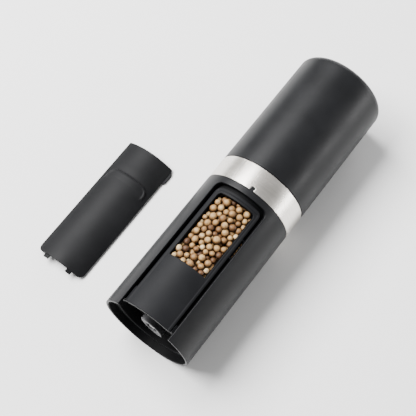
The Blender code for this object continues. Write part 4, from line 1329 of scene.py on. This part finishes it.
@dataclass
class UpperHalf:
    """Upper shell with its rounded end, and the push button in it.

    Attributes:
        sizes: Shared sizes of the mill.
        fillet: Radius of the rounded end.
        guide_inner: Inner radius of the button's guide.
        guide_outer: Outer radius of the guide.
        button: Radius of the button.
    """

    sizes: MillSizes
    fillet: float = 4.5
    guide_inner: float = 8.4
    guide_outer: float = 10.0
    button: float = 8.1

    def shell(self) -> TurnedPiece:
        """Closed shell of the upper half."""
        s = self.sizes
        inner = s.radius - s.wall
        inner_top = s.length - 2.5
        centre = (s.radius - self.fillet, s.length - self.fillet)
        arc = []
        for step in range(13):
            angle = math.pi / 2 * step / 12
            arc.append((centre[0] + self.fillet * math.sin(angle), centre[1] + self.fillet * math.cos(angle)))
        profile = (
            (self.guide_inner, s.length),
            *arc,
            (s.radius, s.upper_bottom),
            (inner, s.upper_bottom),
            (inner, inner_top - 2.5),
            (inner - 2.5, inner_top),
            (self.guide_outer, inner_top),
            (self.guide_outer, s.length - 6.8),
            (self.guide_inner, s.length - 6.8),
        )
        return TurnedPiece("upper_shell_skin", "upper_housing", profile, 0.3, 160)

    def push_button(self) -> TurnedPiece:
        """Button with a shallow dish, its flange and stem."""
        low, high = height_of("push_button")
        s = self.sizes
        flange_top = s.length - 7.1
        radius = self.button
        profile = (
            (0.0, high - 0.5),
            (radius * 0.35, high - 0.46),
            (radius * 0.7, high - 0.3),
            (radius - 0.6, high),
            (radius, high - 0.5),
            (radius, flange_top),
            (self.guide_outer - 0.1, flange_top),
            (self.guide_outer - 0.1, flange_top - 1.5),
            (2.2, flange_top - 1.5),
            (2.2, low),
            (0.0, low),
        )
        return TurnedPiece("button_cap", "push_button", profile, 0.2, 96, closed=False)

    def build(self, finishes: Finishes) -> list[bpy.types.Object]:
        """Builds the shell and the button."""
        return [self.shell().build(finishes), self.push_button().build(finishes)]


@dataclass
class GrindingEnd:
    """Wing knob, shaft and retainer that show at the open end.

    Attributes:
        half_length: Half the knob's length.
        half_width: Half its width.
        tilt: Turn of the knob about the axis.
        bottom: Its face towards the rim.
        thickness: Thickness of its plate.
        hole: Radius of the hole round the shaft's end.
        boss: Radius of the boss behind the plate.
        boss_height: How far the boss stands up behind the plate.
        bore: Radius of the boss's bore.
    """

    half_length: float = 9.2
    half_width: float = 4.9
    tilt: float = math.radians(46.0)
    bottom: float = 4.4
    thickness: float = 5.1
    hole: float = 3.6
    boss: float = 5.0
    boss_height: float = 2.6
    bore: float = 2.75

    def lens(self) -> list[Point2]:
        """Outline of the wing plate: two arcs that meet in blunt tips."""
        rise = self.half_width
        radius = (self.half_length**2 + rise**2) / (2 * rise)
        half = math.asin(self.half_length / radius)
        points = []
        for side in (1, -1):
            for step in range(25):
                angle = half * (1 - step / 12) * 0.965
                along = side * radius * math.sin(angle)
                points.append((along, side * (radius * math.cos(angle) - radius + rise)))
        return points

    def knob(self, finishes: Finishes) -> bpy.types.Object:
        """Builds the wing knob with its boss."""
        angles = [2 * math.pi * k / 40 for k in range(40)]
        ring = [(self.hole * math.cos(angle), self.hole * math.sin(angle)) for angle in angles]
        bm = plate([self.lens(), ring], self.thickness, 0.45, 3)
        turn = Matrix.Rotation(math.pi / 2 + self.tilt, 4, "Z")
        bm.transform(Matrix.Translation((0, 0, self.bottom + self.thickness / 2)) @ turn)
        top = self.bottom + self.thickness
        low, high = top - 1.0, top + self.boss_height
        profile = [(self.boss, low), (self.boss, high), (self.bore, high), (self.bore, low)]
        boss = turned(soften(profile, 0.25), 64)
        return file_piece(merge(bm, boss), "wing_knob", finishes.of("adjuster"), "adjuster_knob")

    def turned_pieces(self) -> list[TurnedPiece]:
        """Shaft and retainer ring."""
        shaft_low, shaft_high = height_of("drive_shaft")
        ring_low, ring_high = height_of("burr_retainer")
        shaft = ((0.0, shaft_low), (2.5, shaft_low), (2.5, shaft_high), (0.0, shaft_high))
        ring = ((22.4, ring_high), (22.4, ring_low), (14.4, ring_low), (14.4, ring_high))
        return [
            TurnedPiece("ground_shaft", "drive_shaft", shaft, 1.1, 64, closed=False),
            TurnedPiece("retainer_ring", "burr_retainer", ring, 0.35, 96),
        ]

    def build(self, finishes: Finishes) -> list[bpy.types.Object]:
        """Builds the visible pieces of the grinding end."""
        return [self.knob(finishes), *(piece.build(finishes) for piece in self.turned_pieces())]


@dataclass
class PowerPack:
    """Cells, holder and lid, which show when the upper half is pulled off.

    Attributes:
        cells: Number of cells.
        cell_radius: Radius of a cell.
        circle: Radius of the circle that the cells stand on.
        holder_radius: Outer radius of the holder.
    """

    cells: int = 6
    cell_radius: float = 5.25
    circle: float = 20.0
    holder_radius: float = 25.8

    def build(self, finishes: Finishes) -> list[bpy.types.Object]:
        """Builds the cells, the holder and the lid."""
        pieces = []
        for index in range(self.cells):
            angle = 2 * math.pi * index / self.cells + math.pi / self.cells
            low, high = height_of(f"cell_{index + 1}")
            profile = (
                (0.0, high),
                (1.9, high),
                (1.9, high - 0.9),
                (3.9, high - 0.9),
                (4.1, high - 1.15),
                (self.cell_radius, high - 1.15),
                (self.cell_radius, low + 0.2),
                (self.cell_radius - 0.6, low),
                (0.0, low),
            )
            offset = (self.circle * math.cos(angle), self.circle * math.sin(angle))
            name = f"battery_{index + 1}"
            pieces.append(TurnedPiece(name, f"cell_{index + 1}", profile, 0.25, 40, offset, False))
        low, high = height_of("battery_holder")
        base = low + 2.0
        holder = (
            (14.25, high),
            (14.25, base),
            (self.holder_radius, base),
            (self.holder_radius, low),
            (12.6, low),
            (12.6, high),
        )
        pieces.append(TurnedPiece("cell_holder", "battery_holder", holder, 0.3, 96))
        low, high = height_of("contact_lid")
        lid = ((self.holder_radius, high), (self.holder_radius, low), (2.0, low), (2.0, high))
        pieces.append(TurnedPiece("cell_lid", "contact_lid", lid, 0.4, 96))
        return [piece.build(finishes) for piece in pieces]


# ------------------------------------------------------------------ the peppercorns


@dataclass
class Peppercorns:
    """Peppercorns that fill the chamber up to the window.

    Attributes:
        sizes: Shared sizes of the mill.
        count: How many corns.
        smallest: Smallest radius.
        largest: Largest radius.
        low: Lowest place along the axis.
        high: Highest place along the axis.
        level: How far up, towards the window, the fill reaches.
        depth: Distance from the axis of the plane below which no corns are needed.
        rounds: Steps of the packing.
        seed: Seed of the random draws.
        slot_corn: Radius of the corns at the release slot.
        slot_radius: Their distance from the axis.
        slot_angle: Their turn from the window's middle line.
        slot_start: Place of the first one along the axis.
        slot_step: Distance from one to the next.
    """

    TONE = "corn_tone"
    LIT = "corn_lit"

    sizes: MillSizes
    count: int = 520
    smallest: float = 1.6
    largest: float = 2.65
    low: float = 38.0
    high: float = 91.0
    level: float = 26.1
    depth: float = 7.0
    rounds: int = 150
    seed: int = 11
    slot_corn: float = 1.25
    slot_radius: float = 24.6
    slot_angle: float = math.radians(-40.2)
    slot_start: float = 58.6
    slot_step: float = 2.15

    def pack(self) -> tuple[np.ndarray, np.ndarray]:
        """Packs the corns by pushing overlapping ones apart inside the chamber.

        Returns:
            Centres and radii, in the mill's millimetres.
        """
        rng = np.random.default_rng(self.seed)
        s = self.sizes
        share = rng.beta(2.4, 2.0, self.count)
        radii = (share * (self.largest - self.smallest) + self.smallest).astype(np.float32)
        wall = s.chamber_inner - 0.1
        centres = np.stack(
            [
                -rng.uniform(self.depth, wall, self.count),
                rng.uniform(-wall, wall, self.count),
                rng.uniform(self.low + 2, self.high - 2, self.count),
            ],
            axis=1,
        ).astype(np.float32)
        level = (self.level + rng.uniform(-2.0, 0.1, self.count)).astype(np.float32)
        half = s.window_half - 0.2
        apart = np.eye(self.count, dtype=np.float32) * 1e6
        for _ in range(self.rounds):
            gap = centres[:, None, :] - centres[None, :, :]
            distance = np.sqrt((gap**2).sum(axis=2)) + apart
            overlap = radii[:, None] + radii[None, :] - distance
            push = np.where(overlap > 0, overlap, 0.0) / distance
            centres += (gap * push[:, :, None]).sum(axis=1) * 0.4
            centres[:, 2] = np.clip(centres[:, 2], self.low + radii, self.high - radii)
            in_window = (
                (np.abs(centres[:, 1]) < half - radii * 0.6)
                & (centres[:, 2] > s.window_bottom + radii * 0.6)
                & (centres[:, 2] < s.window_top - radii * 0.6)
            )
            out = np.hypot(centres[:, 0], centres[:, 1])
            limit = np.where(in_window, level - radii, wall - radii)
            scale = np.where(out > limit, limit / np.maximum(out, 1e-6), 1.0)
            centres[:, :2] *= scale[:, None]
            centres[:, 0] = np.minimum(centres[:, 0], -(self.depth + radii))
        return centres, radii

    def slot_corns(self) -> np.ndarray:
        """Centres of the few small corns that lie against the release slot."""
        x = -self.slot_radius * math.cos(self.slot_angle)
        y = self.slot_radius * math.sin(self.slot_angle)
        return np.array([[x, y, self.slot_start + self.slot_step * k] for k in range(5)])

    def build(self, finishes: Finishes) -> bpy.types.Object:
        """Builds every corn as a slightly uneven ball in one piece."""
        centres, radii = self.pack()
        centres = np.concatenate([centres, self.slot_corns()])
        radii = np.concatenate([radii, np.full(len(centres) - len(radii), self.slot_corn)])
        rng = random.Random(self.seed)
        bm = bmesh.new()
        tone = bm.verts.layers.float.new(self.TONE)
        lit = bm.verts.layers.float.new(self.LIT)
        for centre, radius in zip(centres, radii):
            angle = rng.uniform(0, 6.3)
            turn = Matrix.Rotation(angle, 4, Vector((rng.gauss(0, 1), rng.gauss(0, 1), rng.gauss(0, 1))))
            uneven = (rng.uniform(0.93, 1.04), rng.uniform(0.93, 1.04), rng.uniform(0.93, 1.0), 1.0)
            place = Matrix.Translation(Vector(centre)) @ turn @ Matrix.Diagonal(uneven)
            ball = bmesh.ops.create_icosphere(bm, subdivisions=2, radius=float(radius), matrix=place)
            shade = min(max(rng.gauss(0.47, 0.27), 0.02), 1.0)
            for vert in ball["verts"]:
                vert[tone] = min(max(shade + rng.gauss(0, 0.03), 0.0), 1.0)
                arm = vert.co - Vector(centre)
                # Painted shade: high on the corn's side that faces the window, low on its far side.
                vert[lit] = -arm.x / radius
                vert.co += arm * rng.uniform(-0.035, 0.035)
        return file_piece(
            bm, "peppercorns", finishes.corns, body="lower_unit", sharp=180.0, weighted=False
        )


# ------------------------------------------------------------------ stage, light and camera


@dataclass
class Studio:
    """Pale floor, soft light and the camera.

    Attributes:
        eye: Place of the camera.
        forward: Direction that it looks in.
        up: Its upward direction.
        lens: Focal length on a 36 mm sensor.
        tone: Colour of the lights.
    """

    eye: Point3 = (-0.1943, -0.1623, 0.5560)
    forward: Point3 = (0.3096, 0.2576, -0.9153)
    up: Point3 = (0.7374, 0.5428, 0.4021)
    lens: float = 85.98
    tone: Colour = (1.0, 0.995, 1.0)

    def floor(self) -> bpy.types.Object:
        """Builds the pale floor."""
        bm = bmesh.new()
        bmesh.ops.create_grid(bm, x_segments=4, y_segments=4, size=4.0)
        mesh = bpy.data.meshes.new("pale_floor")
        bm.to_mesh(mesh)
        bm.free()
        nodes = Nodes("pale_floor")
        broad = nodes.noise(2.0, 2.0)
        nodes.wire("Base Color", nodes.ramp(broad, [(0.3, (0.87, 0.87, 0.865)), (0.7, (0.89, 0.89, 0.885))]))
        nodes.tint("Roughness", 0.65)
        nodes.tint("Specular IOR Level", 0.2)
        mesh.materials.append(nodes.material)
        floor = bpy.data.objects.new("pale_floor", mesh)
        bpy.context.scene.collection.objects.link(floor)
        return floor

    def area(self, name: str, place: Point3, target: Point3, size: Point2, power: float) -> None:
        """Adds a rectangular soft light.

        Args:
            name: Name of the light.
            place: Its place.
            target: The point that it faces.
            size: Its width and height.
            power: Its power in watts.
        """
        light = bpy.data.lights.new(name, "AREA")
        light.shape = "RECTANGLE"
        light.size, light.size_y = size
        light.energy = power
        light.color = self.tone
        lamp = bpy.data.objects.new(name, light)
        lamp.location = place
        aim = Vector(target) - Vector(place)
        lamp.rotation_euler = aim.to_track_quat("-Z", "Y").to_euler()
        bpy.context.scene.collection.objects.link(lamp)

    def lights(self) -> None:
        """Adds the soft lights and the even surroundings."""
        world = bpy.data.worlds.new("even_surroundings")
        world.use_nodes = True
        back = world.node_tree.nodes["Background"]
        back.inputs["Color"].default_value = (1.0, 1.0, 1.0, 1.0)
        back.inputs["Strength"].default_value = 0.42
        bpy.context.scene.world = world
        self.area("key_softbox", (-0.1, 0.75, 1.15), (0.0, 0.0, 0.0), (1.2, 0.8), 78.0)
        self.area("side_softbox", (0.85, -1.1, 0.24), (0.05, 0.0, 0.02), (0.9, 0.2), 15.0)
        self.area("end_softbox", (1.2, 0.35, 0.35), (0.0, 0.0, 0.02), (0.7, 0.35), 7.0)

    def camera(self) -> bpy.types.Object:
        """Adds the camera."""
        data = bpy.data.cameras.new("camera")
        data.lens = self.lens
        data.sensor_width = 36.0
        data.clip_start = 0.01
        camera = bpy.data.objects.new("camera", data)
        back = -Vector(self.forward).normalized()
        right = Vector(self.up).cross(back).normalized()
        up = back.cross(right)
        turn = Matrix((right, up, back)).transposed().to_4x4()
        camera.matrix_world = Matrix.Translation(self.eye) @ turn
        bpy.context.scene.collection.objects.link(camera)
        bpy.context.scene.camera = camera
        return camera

    def build(self) -> None:
        """Builds the stage, the lights and the camera."""
        self.floor()
        self.lights()
        self.camera()


# ------------------------------------------------------------------ assembly


def main() -> None:
    """Builds every sub-assembly in order."""
    logging.basicConfig(level=logging.INFO, format="%(name)s: %(message)s")
    finishes = Finishes()
    LOG.info("dressed %d packed nodes", finishes.dress_carried_nodes())
    builders = [
        LowerHousing(SIZES),
        SteelBand(SIZES),
        GrainChamber(SIZES),
        RefillCover(SIZES),
        UpperHalf(SIZES),
        GrindingEnd(),
        PowerPack(),
        Peppercorns(SIZES),
    ]
    for builder in builders:
        made = builder.build(finishes)
        for piece in made if isinstance(made, list) else [made]:
            LOG.info("built %s with %d faces", piece.name, len(piece.data.polygons))
    Studio().build()


if __name__ == "__main__":
    main()
